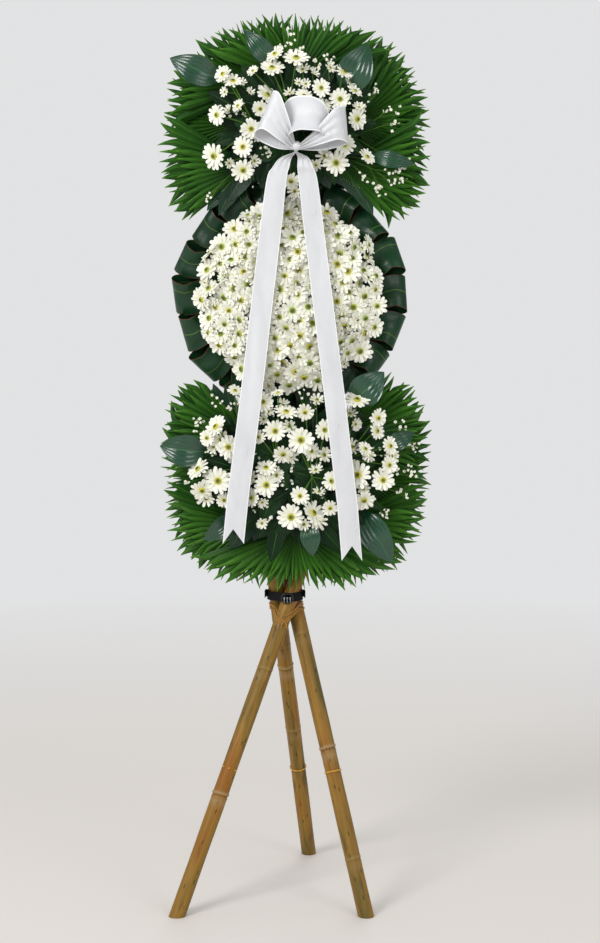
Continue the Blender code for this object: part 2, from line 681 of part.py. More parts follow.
def add_dome():
    """Daisies on a domed core, set in the even spiral of a seed head."""
    rings = 4
    sides = FOLDED_LEAVES
    base = DISC_FOAM_FRONT - SEAT_GAP
    points = []
    for level in range(rings):
        share = math.cos(math.pi / 2 * level / rings)
        depth = base - DOME_CORE_STEP * (level > 0) - DOME_CORE_HEIGHT * math.sin(math.pi / 2 * level / rings)
        for across, up in polygon(sides, DOME_CORE_RADIUS * share):
            points.append((DISC_CENTRE[0] + across, depth, DISC_CENTRE[1] + up))
    points.append((DISC_CENTRE[0], base - DOME_CORE_STEP - DOME_CORE_HEIGHT, DISC_CENTRE[1]))
    faces = [tuple(range(sides))]
    for level in range(rings - 1):
        low = level * sides
        for i in range(sides):
            k = (i + 1) % sides
            faces.append((low + i, low + k, low + sides + k, low + sides + i))
    peak = rings * sides
    low = (rings - 1) * sides
    faces += [(low + i, low + (i + 1) % sides, peak) for i in range(sides)]
    core = add_object("daisy_dome", points, faces, "petal")
    heads = []
    for number in range(DOME_DAISIES):
        share = math.sqrt((number + 0.5) / DOME_DAISIES)
        angle = number * math.pi * (3.0 - math.sqrt(5.0))
        radial = share * DOME_SPREAD
        lean = math.radians(34.0) * share ** 2
        rise = DOME_CORE_HEIGHT * math.sqrt(max(1.0 - (radial / (DOME_CORE_RADIUS * 1.12)) ** 2, 0.0))
        outward = np.array([math.cos(angle), 0.0, math.sin(angle)])
        centre = np.array([DISC_CENTRE[0], base - 0.0085 - rise, DISC_CENTRE[1]]) + outward * radial
        facing = outward * math.sin(lean) - np.array([0.0, math.cos(lean), 0.0])
        root = centre - outward * radial * 0.13 + np.array([0.0, 0.013, 0.0])
        points, faces = daisy(centre, facing, DOME_DAISY_RADIUS, DOME_PETALS, rng.uniform(0, 1), 0.002, root)
        heads.append(add_object("dome_head_%d" % number, points, faces, "petal"))
    apply_boolean(core, "UNION", heads)


def leaflet(root, direction, length, width, droop):
    """A small pointed leaf, creased along its midrib."""
    side, up = side_frame(direction)
    shares = np.array([0.0, 0.52, 1.0])
    widths = np.array([0.10, 1.0, 0.05]) * width / 2
    middle = root + np.outer(shares * length, direction) + np.outer(droop * shares ** 2, up)
    ridge = np.outer(np.full(len(shares), -0.12 * width), up) * (shares * (1 - shares) * 4)[:, None]
    grid = np.stack((middle - np.outer(widths, side), middle + ridge, middle + np.outer(widths, side)), axis=1)
    return sheet_solid(grid, 0.0009)


def add_spray(name, root_place, blooms, cutters):
    """A stem in the foam that forks to its daisies, with low leaves over the foam's face."""
    front = photo_place(*root_place, FOAM_FRONT)
    deep = front + np.array([0.0, PEG_DEPTH, 0.0])
    fork = front + np.array([0.0, BRANCH_DEPTH - FOAM_FRONT, 0.0])
    stem_outline = polygon(6, STEM_RADIUS)
    parts = [prism(deep, fork, stem_outline)]
    add_socket(cutters, deep, front - np.array([0.0, 0.004, 0.0]), polygon(6, STEM_RADIUS + 0.0004))
    start = rng.uniform(0, 1)
    for number in range(LEAFLETS):
        angle = (number + start) * 2.0 * math.pi / LEAFLETS
        direction = np.array([math.cos(angle), 0.0, math.sin(angle)])
        base = front + np.array([0.0, -0.0050 - 0.0016 * (number * 2 % LEAFLETS), 0.0]) + direction * 0.0015
        parts.append(leaflet(base, direction, LEAFLET_LENGTH * rng.uniform(0.85, 1.0), LEAFLET_WIDTH, 0.008))
    for number, (column, row, size) in enumerate(blooms):
        depth = SPRAY_DEPTH - rng.uniform(0.0, 0.010)
        centre = photo_place(column, row, depth)
        lean = (centre - fork)[[0, 2]] * 3.0 + rng.uniform(-0.15, 0.15, 2)
        facing = unit((lean[0], -1.0, lean[1]))
        neck = centre - facing * pixels(size) * 0.10
        start = fork + np.array([0.0, 0.0012 + 0.0012 * (number % 3), 0.0])
        parts.append(prism(start, neck, polygon(3, BRANCH_RADIUS)))
        parts.append(daisy(centre, facing, pixels(size), PETALS, rng.uniform(0, 1), 0.003))
    pieces = [add_object("%s_part_%d" % (name, i), *part, "petal") for i, part in enumerate(parts)]
    pieces[0].name = name
    apply_boolean(pieces[0], "UNION", pieces[1:])


def small_head(centre, radius):
    """An eight-sided bead for one head of baby's breath."""
    offsets = np.vstack((np.eye(3), -np.eye(3))) * radius
    faces = [(0, 1, 2), (1, 3, 2), (3, 4, 2), (4, 0, 2), (1, 0, 5), (3, 1, 5), (4, 3, 5), (0, 4, 5)]
    return np.asarray(centre) + offsets, faces


def add_breath(name, root_place, heads, cutters, edge_x, depth):
    """A thin twig out of the foam's side that forks to its little white heads."""
    near = photo_place(*root_place, GLOSSY_DEPTH)
    near[0] = edge_x
    deep = near - np.array([PEG_DEPTH * 0.6, 0.0, 0.0])
    fork = near + np.array([0.014, -0.004, 0.0])
    radius = 0.0015
    parts = [prism(deep, near + np.array([0.004, 0.0, 0.0]), polygon(6, radius)),
             prism(near + np.array([0.002, 0.0, 0.0]), fork, polygon(6, radius))]
    add_socket(cutters, deep, near + np.array([0.006, 0.0, 0.0]), polygon(6, radius + 0.0004))
    for column, row in heads:
        head = photo_place(column, row, depth)
        parts.append(prism(fork - unit(head - fork) * 0.001, head, polygon(3, 0.0010)))
        parts.append(small_head(head, BREATH_HEAD_RADIUS))
    pieces = [add_object("%s_part_%d" % (name, i), *part, "petal") for i, part in enumerate(parts)]
    pieces[0].name = name
    apply_boolean(pieces[0], "UNION", pieces[1:])


def add_glossy_leaf(name, root_place, start_place, tip_place, half_width, cutters, edge_x):
    """A broad leaf on a flat stalk out of the foam's side, folded a little at its midrib."""
    near = photo_place(*root_place, GLOSSY_DEPTH)
    near[0] = edge_x
    inward = -PEG_DEPTH * 0.6 if edge_x > 0 else PEG_DEPTH * 0.6
    deep = near + np.array([inward, 0.0, 0.0])
    out = near + np.array([-inward * 0.3, 0.0, 0.0])
    start = photo_place(*start_place, GLOSSY_DEPTH - 0.002)
    tip = photo_place(*tip_place, GLOSSY_DEPTH - 0.008)
    spine = [deep, out, start]
    widths = [0.0020, 0.0020, 0.0026]
    for share, width in ((0.14, 0.62), (0.32, 0.95), (0.52, 1.0), (0.74, 0.78), (0.90, 0.42), (1.0, 0.05)):
        lift = np.array([0.0, -0.010 * math.sin(math.pi * share), 0.0])
        spine.append(start + (tip - start) * share + lift)
        widths.append(half_width * width)
    spine = np.array(spine)
    ahead = np.gradient(spine, axis=0)
    side = np.cross(ahead, (0.0, -1.0, 0.0))
    side /= np.linalg.norm(side, axis=1, keepdims=True)
    widths = np.array(widths)[:, None]
    fold = np.array([0.0, 1.0, 0.0]) * widths * 0.16
    grid = np.stack((spine - side * widths, spine + fold, spine + side * widths), axis=1)
    points, faces = sheet_solid(grid, 0.0014)
    add_object(name, points, faces, "broad_leaf")
    slot = np.array([(0.0026, 0.0018), (-0.0026, 0.0018), (-0.0026, -0.0018), (0.0026, -0.0018)])
    add_socket(cutters, deep, near + np.array([-inward * 0.1, 0.0, 0.0]), slot)


def add_tail(name, stations, knot_side):
    """A ribbon tail that comes out under the knot and hangs to a swallow-tailed end."""
    knot = photo_place(*KNOT_PLACE, KNOT_BACK)
    knot[1] = TAIL_ROOT_DEPTH
    under = KNOT_RADIUS * math.cos(math.pi / 8) + SEAT_GAP
    root = knot + np.array([knot_side * (TAIL_ROOT_HALF_WIDTH + SEAT_GAP), 0.0, -under])
    reach = np.array([TAIL_ROOT_HALF_WIDTH, 0.0, 0.0])
    grid = []
    for drop in (0.0, TAIL_ROOT_LENGTH):
        middle = root - np.array([0.0, 0.0, drop])
        grid.append([middle - reach, middle, middle + reach])
    for number, (row, column, half) in enumerate(stations):
        depth = TAIL_DEPTH - 0.004 * math.sin(number * 1.3 + knot_side) * (0 < number < 7)
        last = number == len(stations) - 1
        edge_row = row + TAIL_NOTCH_ROWS if last else row
        grid.append([photo_place(column - half, edge_row, depth),
                     photo_place(column, row, depth - 0.0015),
                     photo_place(column + half, edge_row, depth)])
    points, faces = sheet_solid(grid, RIBBON_THICKNESS)
    add_object(name, points, faces, "ribbon")


def bow_loop(stations):
    """A loop of wide ribbon: (column, row, depth, half width across x, half width across z)."""
    grid = []
    for column, row, depth, half_x, half_z in stations:
        middle = photo_place(column, row, depth)
        reach = np.array([pixels(half_x), 0.0, -pixels(half_z)])
        grid.append([middle - reach, middle, middle + reach])
    return sheet_solid(grid, RIBBON_THICKNESS)


BOW_LEFT = ((294, 147, -0.147, -0.5, 2.5), (283, 133, -0.143, -6.0, 12.0), (271, 119, -0.145, -8.5, 18.0),
            (267, 113, -0.158, -9.0, 20.0), (271, 117, -0.172, -8.5, 18.0), (283, 134, -0.173, -5.0, 10.0),
            (294, 147, -0.158, -0.5, 2.5))
BOW_RIGHT = ((299, 147, -0.147, 0.5, 2.5), (318, 139, -0.143, 1.0, 9.0), (337, 130, -0.145, 1.5, 16.0),
             (345, 125, -0.158, 1.5, 17.5), (337, 129, -0.171, 1.5, 15.0), (318, 139, -0.172, 1.0, 8.0),
             (299, 147, -0.158, 0.5, 2.5))
BOW_MIDDLE = ((297, 143, -0.149, 3.0, 0.0), (300, 124, -0.144, 13.0, 0.5), (304, 103, -0.150, 18.0, 0.5),
              (305, 98, -0.166, 19.0, 0.5), (306, 110, -0.186, 19.5, 1.0), (307, 127, -0.190, 17.0, 1.5),
              (303, 138, -0.180, 9.0, 1.0), (298, 145, -0.162, 3.0, 0.0))


def add_bow():
    """Three loops of wide ribbon gathered into one knot."""
    parts = [bow_loop(stations) for stations in (BOW_LEFT, BOW_RIGHT, BOW_MIDDLE)]
    back = photo_place(*KNOT_PLACE, KNOT_BACK)
    front = back + np.array([0.0, KNOT_FRONT - KNOT_BACK, 0.0])
    knot = prism(back, front, polygon(8, KNOT_RADIUS, math.pi / 8))
    pieces = [add_object("ribbon_bow", *knot, "ribbon")]
    pieces += [add_object("bow_loop_%d" % i, *part, "ribbon") for i, part in enumerate(parts)]
    apply_boolean(pieces[0], "UNION", pieces[1:])


def add_pick(cutters):
    """The wooden pick that the bow is tied to, from a hole in the foam to the knot's back."""
    back = photo_place(*KNOT_PLACE, KNOT_BACK)
    end = back + np.array([0.0, SEAT_GAP, 0.0])
    front = np.array([end[0], FOAM_FRONT, end[2]])
    deep = front + np.array([0.0, PEG_DEPTH, 0.0])
    points, faces = prism(deep, end, polygon(6, PICK_RADIUS))
    add_object("bow_pick", points, faces, "bamboo")
    add_socket(cutters, deep, front - np.array([0.0, 0.004, 0.0]), polygon(6, PICK_RADIUS + 0.0004))


def centre_on_floor():
    """Moves everything so that the origin is the middle of the box's bottom."""
    bpy.context.view_layer.update()
    corners = np.vstack([np.array([vertex.co[:] for vertex in made.data.vertices])
                         for made in bpy.data.objects if not made.hide_render])
    low, high = corners.min(axis=0), corners.max(axis=0)
    shift = -np.array([(low[0] + high[0]) / 2, (low[1] + high[1]) / 2, low[2]])
    for made in bpy.data.objects:
        made.location = shift


def build():
    clear_scene()
    for name, (colour, roughness) in MATERIAL_LOOKS.items():
        make_material(name, colour, roughness)
    for name in LEGS:
        add_leg(name)
    add_lashing()
    add_leg_bands()
    add_strap()
    add_mast()

    upper_foam = add_foam_block("foam_upper", UPPER_CENTRE, UPPER_FOAM)
    lower_foam = add_foam_block("foam_lower", LOWER_CENTRE, LOWER_FOAM)
    add_foam_disc()
    upper_cutters = []
    lower_cutters = []
    add_fans("palm_fan_upper", UPPER_CENTRE, UPPER_FOAM, UPPER_REACH, UPPER_FANS, upper_cutters)
    add_fans("palm_fan_lower", LOWER_CENTRE, LOWER_FOAM, LOWER_REACH, LOWER_FANS, lower_cutters)
    for number in range(FOLDED_LEAVES):
        add_folded_leaf(number)
    add_dome()
    for name, (root, blooms) in UPPER_SPRAYS.items():
        add_spray(name, root, blooms, upper_cutters)
    for name, (root, blooms) in LOWER_SPRAYS.items():
        add_spray(name, root, blooms, lower_cutters)
    for name, (root, heads) in BREATH_TWIGS.items():
        upper = name.endswith("upper")
        cutters = upper_cutters if upper else lower_cutters
        edge_x = (UPPER_FOAM if upper else LOWER_FOAM)[0] / 2
        add_breath(name, root, heads, cutters, edge_x, BREATH_DEPTHS[name])
    add_glossy_leaf("glossy_leaf_upper", *GLOSSY_LEAVES["glossy_leaf_upper"], upper_cutters,
                    -UPPER_FOAM[0] / 2)
    add_glossy_leaf("glossy_leaf_lower", *GLOSSY_LEAVES["glossy_leaf_lower"], lower_cutters,
                    LOWER_FOAM[0] / 2)
    add_bow()
    add_tail("ribbon_tail_left", TAIL_LEFT, -1.0)
    add_tail("ribbon_tail_right", TAIL_RIGHT, 1.0)
    add_pick(upper_cutters)
    apply_boolean(upper_foam, "DIFFERENCE", upper_cutters)
    apply_boolean(lower_foam, "DIFFERENCE", lower_cutters)
    centre_on_floor()


build()
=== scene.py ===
import math

import bpy
import numpy as np
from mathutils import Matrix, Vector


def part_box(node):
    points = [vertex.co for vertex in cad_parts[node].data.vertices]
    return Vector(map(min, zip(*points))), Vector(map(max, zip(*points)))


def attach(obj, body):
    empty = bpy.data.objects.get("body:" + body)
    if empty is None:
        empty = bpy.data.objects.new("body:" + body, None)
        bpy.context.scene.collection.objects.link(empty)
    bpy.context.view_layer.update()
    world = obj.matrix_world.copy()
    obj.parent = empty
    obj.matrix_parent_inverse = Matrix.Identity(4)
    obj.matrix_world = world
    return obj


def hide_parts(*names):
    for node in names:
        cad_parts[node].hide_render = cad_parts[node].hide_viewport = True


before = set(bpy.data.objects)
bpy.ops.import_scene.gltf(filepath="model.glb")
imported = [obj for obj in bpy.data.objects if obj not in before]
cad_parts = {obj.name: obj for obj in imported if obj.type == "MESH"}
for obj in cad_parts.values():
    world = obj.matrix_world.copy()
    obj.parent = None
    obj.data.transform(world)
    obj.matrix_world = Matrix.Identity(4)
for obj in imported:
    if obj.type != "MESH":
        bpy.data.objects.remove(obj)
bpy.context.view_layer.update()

rng = np.random.default_rng(62)

# An edge between faces that meet at more than this is drawn sharp
SHARP_DEGREES = 62.0

# Where the photograph was taken from, in the stand's layout frame, metres
VIEW_DISTANCE = 4.4255
VIEW_HEIGHT = 1.4335
VIEW_LENS = 85.0
VIEW_SENSOR = 36.0
PICTURE_HEIGHT = 943.0
VIEW_FOCAL_PIXELS = VIEW_LENS / VIEW_SENSOR * PICTURE_HEIGHT
VIEW_CENTRE_COLUMN = 300.0
VIEW_CENTRE_ROW = 471.5
HORIZON_ROW = 182.0
VIEW_SIDE_OFFSET = 0.008
VIEW_TILT = math.atan((VIEW_CENTRE_ROW - HORIZON_ROW) / VIEW_FOCAL_PIXELS)
PIXEL = 0.0020

# The layout frame stands off the row's frame by the mast's place
MAST_PLACE = (-0.0220, 0.003)
mast_low, mast_high = np.array(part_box("mast"))
SHIFT = np.append((mast_low[:2] + mast_high[:2]) / 2 - MAST_PLACE, 0.0)

# Bamboo tripod: foot x, foot y, x and y at the crossing, heights of the nodes
CULM_RADIUS = 0.0155
CULM_TOP = 0.685
CROSSING_HEIGHT = 0.585
LEGS = {
    "bamboo_leg_left": (-0.234, -0.190, -0.0190, -0.0235, (0.230, 0.468)),
    "bamboo_leg_right": (0.138, -0.190, -0.0025, 0.0095, (0.106, 0.313, 0.530)),
    "bamboo_leg_back": (0.027, 0.225, -0.0365, 0.0090, (0.307, 0.451, 0.497)),
}
FAINT_NODES = {0.468: 0.35, 0.106: 0.35, 0.530: 0.2, 0.497: 0.3, 0.307: 0.45}

# Bell curves along a culm at a node: height, how far below the node, width
NODE_RELIEF = ((0.0018, 0.0, 0.0024), (-0.0006, 0.0050, 0.0022), (0.0007, 0.0082, 0.0020))
NODE_TONES = ((0.48, 0.0046, 0.0012), (-0.46, 0.0, 0.0030), (-0.26, 0.0170, 0.0100))

# String on the legs
STRING_RADIUS = 0.00088
STRING_PITCH = 0.0017
STRING_END_RADIUS = 0.0014
STRING_END_HEIGHT = 0.277
STRING_END_TURNS = (-52.0, -8.0, 48.0)
LEG_BAND_HEIGHTS = {"bamboo_leg_right": 0.268, "bamboo_leg_back": 0.212}

# Lashing, with the drop and the depth of the dip of each turn, and strap
CORD_RADIUS = 0.0020
LASHING_HEIGHT = 0.572
LASHING_TURNS = ((0.0, 0.018), (0.0045, 0.021), (0.0090, 0.025), (0.0115, 0.019))
STRAP_HEIGHT = 0.612
STRAP_WIDTH = 0.018
STRAP_THICKNESS = 0.0016

# Foam and panels
FOAM_FRONT = -0.085
UPPER_CENTRE = (0.000, 1.543)
UPPER_FOAM = (0.190, 0.130)
LOWER_CENTRE = (0.000, 0.850)
LOWER_FOAM = (0.230, 0.150)
PANELS = (("upper", UPPER_CENTRE, UPPER_FOAM), ("lower", LOWER_CENTRE, LOWER_FOAM))
DISC_CENTRE = (-0.011, 1.214)
DISC_FOAM_RADIUS = 0.165
DISC_FOAM_FRONT = -0.060

# Fan palm leaves: the direction in degrees and the layer of each
FAN_LAYERS = (-0.068, -0.046, -0.024)
FAN_BEND = 0.006
HUB_STAND_OFF = 0.018
STALK_IN_FOAM = 0.018
PANEL_REACH = {"upper": (0.264, 0.214), "lower": (0.270, 0.226)}
SQUARENESS_UPWARDS = 2.25
SQUARENESS_DOWNWARDS = 2.8
SQUARENESS_TO_RING = 4.6
RING_KEEP_OUT = 0.240
LEG_TOPS_KEEP_OUT = (-0.075, 0.045, 0.695)
FANS = {
    "upper": ((-40, 0), (2, 1), (46, 2), (90, 0), (134, 1), (178, 2), (220, 0)),
    "lower": ((-90, 0), (-44, 1), (-2, 2), (42, 0), (138, 0), (182, 2), (224, 1)),
}

# Thickness of petals and leaves
PETAL_THICKNESS = 0.00045
LEAF_THICKNESS = 0.0006
BROAD_THICKNESS = 0.0007
FOLDED_THICKNESS = 0.0008

# Ring of folded leaves: distance out and depth along each loop
FOLDED_LEAVES = 18
FOLD_PATH = ((0.0, -0.050), (0.034, -0.0560), (0.055, -0.049), (0.0625, -0.035),
             (0.055, -0.021), (0.034, -0.0125), (0.0, -0.016))

# Dome of daisies
DOME_RADIUS = 0.187
DOME_RISE = 0.0505
DOME_DAISIES = 140
DOME_DAISY_RADIUS = 0.0225
DOME_EDGE = DOME_RADIUS * 1.02
DOME_LEAVES = 260
DOME_BUDS = 64
BUD_TO_EYE = 0.0105
SPIRAL_TURN = 2.39996
EYE_RUN = 0.0066
DOME_TOP_DAISIES = ((284, 205), (296, 208), (292, 219), (305, 203), (274, 208), (261, 212))

# Sprays: root, then column, row, radius in pixels and where each bloom looks
SPRAY_DEPTH = -0.115
BRANCH_DEPTH = -0.101
UPPER_SPRAYS = {
    "daisy_spray_upper_left": ((256, 127), (
        (223, 74, 9, "left_up"), (233, 81, 9, "up"), (217, 115, 10, "left"), (214, 156, 12, "left"),
        (251, 129, 10, "front"), (243, 147, 10, "front"), (243, 170, 11, "down"), (238, 106, 7, "left_up"))),
    "daisy_spray_upper_middle": ((289, 108), (
        (267, 95, 11, "right_up"), (260, 109, 8, "front"), (272, 68, 11, "up"), (275, 54, 9, "left_up"),
        (296, 58, 12, "up"), (253, 71, 6, "left_up"), (291, 181, 9, "down"))),
    "daisy_spray_upper_right": ((333, 128), (
        (304, 96, 9, "up"), (321, 88, 9, "front"), (340, 99, 10, "front"), (324, 106, 8, "right_up"),
        (344, 72, 9, "right_up"), (355, 91, 8, "right_up"), (357, 119, 11, "right"), (336, 163, 12, "front"),
        (345, 145, 10, "front"), (367, 157, 9, "right_up"))),
}
LOWER_SPRAYS = {
    "daisy_spray_lower_left": ((245, 468), (
        (216, 427, 12, "left_up"), (207, 438, 8, "left"), (228, 447, 11, "front"), (198, 469, 11, "left_up"),
        (218, 481, 13, "front"), (202, 490, 11, "down"), (224, 500, 8, "down"), (235, 391, 8, "up"))),
    "daisy_spray_lower_middle": ((277, 458), (
        (263, 402, 10, "front"), (278, 393, 7, "up"), (275, 431, 11, "right"), (283, 454, 10, "down"),
        (266, 468, 10, "up"), (266, 485, 12, "front"), (252, 498, 9, "left"), (259, 437, 7, "left"))),
    "daisy_spray_lower_centre": ((312, 476), (
        (286, 412, 11, "up"), (305, 412, 9, "down"), (301, 440, 13, "front"), (325, 430, 10, "left"),
        (311, 451, 9, "right"), (332, 481, 10, "left"), (300, 496, 9, "front"), (291, 517, 13, "front"),
        (313, 513, 13, "right_up"), (330, 508, 8, "down"))),
    "daisy_spray_lower_right": ((345, 458), (
        (357, 400, 12, "up"), (378, 418, 9, "right"), (377, 431, 9, "right"), (365, 449, 8, "right_up"),
        (358, 475, 13, "front"), (390, 446, 9, "right"), (389, 465, 9, "right"), (383, 480, 11, "front"),
        (364, 500, 11, "down"))),
}
LOOKS_TOWARDS = {
    "front": (0.0, -1.0, 0.12), "up": (0.05, -0.62, 0.75), "down": (0.05, -0.9, -0.35),
    "left": (-0.5, -0.85, 0.05), "right": (0.5, -0.85, 0.05),
    "left_up": (-0.55, -0.62, 0.55), "right_up": (0.55, -0.62, 0.5),
}

# Smaller blooms between the sprays, in the same way
SMALL_BLOOM_DEPTH = -0.108
SMALL_BLOOMS = {
    "upper": (
        (241, 83, 6, "up"), (225, 92, 5, "left_up"), (303, 70, 7, "up"), (314, 73, 6, "right_up"),
        (299, 83, 5, "up"), (290, 93, 6, "up"), (330, 68, 6, "right_up"), (349, 83, 6, "right_up"),
        (258, 137, 5, "down"), (254, 161, 6, "right"), (325, 156, 8, "left"), (316, 165, 6, "down"),
        (295, 191, 7, "down"), (250, 92, 5, "right_up"), (228, 110, 5, "left_up"), (359, 108, 7, "up"),
        (326, 148, 6, "left"), (269, 112, 6, "up"), (229, 163, 5, "right"), (306, 84, 5, "front")),
    "lower": (
        (317, 400, 7, "up"), (264, 419, 6, "left"), (289, 426, 7, "down"), (291, 456, 8, "right"),
        (324, 455, 8, "right"), (355, 424, 7, "right"), (350, 414, 7, "up"), (352, 447, 8, "right"),
        (350, 463, 7, "down"), (391, 456, 8, "right"), (316, 470, 7, "up"), (276, 475, 8, "right"),
        (210, 476, 7, "left"), (206, 498, 9, "down"), (221, 440, 10, "front"), (262, 502, 6, "down"),
        (363, 489, 7, "right"), (319, 492, 6, "up"), (232, 455, 8, "down"), (251, 478, 8, "left"),
        (262, 523, 6, "down"), (268, 412, 6, "up"), (304, 524, 7, "down"), (318, 521, 9, "down"),
        (369, 455, 7, "down"), (339, 470, 7, "front"), (283, 403, 6, "up"), (214, 447, 7, "left")),
}

# Baby's breath: root, then the middle of each cluster
BREATH_DEPTHS = {"babys_breath_upper": -0.098, "babys_breath_lower": -0.090}
BREATH_TWIGS = {
    "babys_breath_upper": ((344, 136), (
        (375, 90), (389, 110), (394, 122), (402, 166), (397, 181), (382, 191))),
    "babys_breath_lower": ((354, 480), (
        (404, 426), (412, 448), (409, 472), (403, 494), (384, 512))),
}
LOOSE_BREATH_DEPTH = -0.104
LOOSE_BREATH = {
    "upper": (
        (334, 56), (327, 62), (288, 45), (291, 33), (301, 50), (239, 106), (207, 196), (316, 62), (366, 108),
        (387, 162), (264, 148), (270, 153), (252, 156), (244, 116), (228, 112), (365, 175), (389, 176),
        (374, 184)),
    "lower": (
        (218, 403), (230, 408), (196, 428), (200, 420), (189, 479), (208, 455), (281, 425), (303, 392),
        (313, 400), (317, 465), (290, 484), (262, 508), (270, 520), (337, 436), (370, 452), (396, 470),
        (238, 405), (255, 455), (294, 468), (349, 486), (320, 492)),
}

# Large glossy leaves: root, blade start and tip, half width
GLOSSY_LEAVES = {
    "glossy_leaf_upper": ((248, 101), (219, 80), (170, 58), 0.028),
    "glossy_leaf_lower": ((354, 504), (361, 511), (392, 562), 0.030),
}
GLOSSY_DEPTH = -0.079
MORE_GLOSSY_LEAVES = {
    "broad_leaf_upper_top": ((284, 84), (274, 64), (244, 30), 0.020),
    "broad_leaf_upper_right": ((326, 112), (345, 92), (368, 44), 0.034),
    "broad_leaf_upper_low": ((338, 148), (372, 156), (414, 164), 0.016),
    "broad_leaf_lower_left": ((246, 458), (205, 452), (160, 446), 0.032),
    "broad_leaf_lower_right": ((346, 438), (352, 402), (384, 372), 0.032),
    "broad_leaf_lower_side": ((348, 452), (386, 446), (414, 432), 0.018),
    "broad_leaf_lower_foot": ((300, 500), (308, 520), (313, 556), 0.020),
    "broad_leaf_lower_heel": ((262, 500), (236, 516), (204, 540), 0.020),
}

# Leaves that fill the panels, and those at the joints: direction in degrees, place along the foam's
# edge as a share of its half width, length, depth
FILLING_LEAVES = {"upper": 70, "lower": 86}
JOINT_LEAVES = {
    "upper": (
        (200, -1.0, 0.100, -0.058), (214, -1.0, 0.110, -0.064), (226, -0.95, 0.122, -0.060),
        (239, -0.85, 0.104, -0.066), (314, 0.95, 0.122, -0.060), (301, 0.85, 0.104, -0.066),
        (326, 1.0, 0.110, -0.064), (232, -0.7, 0.078, -0.059), (244, -1.0, 0.126, -0.062),
        (233, -1.0, 0.130, -0.057), (296, 1.0, 0.126, -0.062), (307, 1.0, 0.132, -0.057),
        (248, -0.45, 0.066, -0.065), (262, -0.15, 0.060, -0.060), (277, 0.15, 0.060, -0.065),
        (291, 0.45, 0.066, -0.059), (307, 0.7, 0.078, -0.065), (340, 1.0, 0.100, -0.064)),
    "lower": (
        (160, -1.0, 0.090, -0.064), (143, -0.85, 0.096, -0.069), (118, -0.95, 0.122, -0.060),
        (131, -1.0, 0.112, -0.066), (62, 0.95, 0.122, -0.060), (49, 1.0, 0.112, -0.066),
        (125, -0.65, 0.098, -0.064), (108, -0.4, 0.092, -0.070), (104, -0.95, 0.122, -0.062),
        (112, -1.0, 0.128, -0.058), (96, -0.8, 0.104, -0.066), (76, 0.95, 0.122, -0.062),
        (95, -0.12, 0.090, -0.065), (84, 0.15, 0.090, -0.070), (71, 0.42, 0.092, -0.064),
        (55, 0.66, 0.098, -0.070), (38, 0.86, 0.096, -0.064), (21, 1.0, 0.090, -0.069),
        (236, -0.75, 0.080, -0.066), (254, -0.45, 0.080, -0.060), (288, 0.45, 0.080, -0.066),
        (305, 0.75, 0.080, -0.060)),
}

# Ribbon
KNOT_PLACE = (296, 146)
KNOT_BACK = -0.1400
KNOT_FRONT = -0.1640
KNOT_RADIUS = 0.0095
TAIL_DEPTH = -0.1340
TAIL_ROOT_DEPTH = -0.1500
TAIL_LEFT = ((158, 285.8, 5.5), (167, 281.0, 8.0), (180, 276.5, 9.5), (230, 270.5, 10.3),
             (315, 260.5, 10.4), (400, 250.5, 10.5), (470, 241.5, 10.5), (529, 233.2, 10.4))
TAIL_RIGHT = ((158, 303.2, 5.2), (167, 305.2, 7.5), (180, 308.0, 9.0), (230, 314.0, 9.6),
              (315, 324.5, 9.8), (400, 335.0, 10.0), (480, 344.5, 10.0), (546, 352.0, 10.0))
TAIL_NOTCH_ROWS = 15.0
RIBBON_WIDTH = 0.042
SELVEDGE_WIDTH = 0.0016
RIBBON_THICKNESS = 0.0005


def photo_place(column, row, depth):
    """Layout point on the plane y = depth that shows at a column and row of the photograph."""
    along = VIEW_DISTANCE + depth
    angle = VIEW_TILT + np.arctan((np.asarray(row, dtype=float) - VIEW_CENTRE_ROW) / VIEW_FOCAL_PIXELS)
    height = VIEW_HEIGHT - along * np.tan(angle)
    away = along * math.cos(VIEW_TILT) + (VIEW_HEIGHT - height) * math.sin(VIEW_TILT)
    off_centre = np.asarray(column, dtype=float) - VIEW_CENTRE_COLUMN
    across = off_centre / VIEW_FOCAL_PIXELS * away + VIEW_SIDE_OFFSET
    depth = np.broadcast_to(depth, np.shape(across + height))
    return np.stack(np.broadcast_arrays(across, depth, height), axis=-1)


def unit(vectors):
    """The vectors at length one."""
    vectors = np.asarray(vectors, dtype=float)
    return vectors / np.maximum(np.linalg.norm(vectors, axis=-1, keepdims=True), 1e-12)


def pair_up(across, along):
    """Pairs of two values over a grid, such as a UV from its value across and its value along."""
    return np.stack(np.broadcast_arrays(across, along), axis=-1)


def ways_out(angles):
    """Unit vectors in the plane that faces the front, each at its angle from the stand's right."""
    return np.stack((np.cos(angles), np.zeros_like(angles), np.sin(angles)), axis=-1)


def round_about(angles, side, up):
    """Unit vectors at angles round an axis, in the plane of two vectors that are square to it."""
    return np.cos(angles)[:, None] * side + np.sin(angles)[:, None] * up


def run_along(path):
    """The distance along a path at each of its points."""
    return np.concatenate(([0], np.cumsum(np.linalg.norm(np.diff(path, axis=0), axis=1))))


def straight_paths(starts, ends, count, reach=1.0):
    """Straight paths of count points, each from its start over a share of the way to its end."""
    return starts[:, None] + (ends - starts)[:, None] * np.linspace(0, reach, count)[None, :, None]


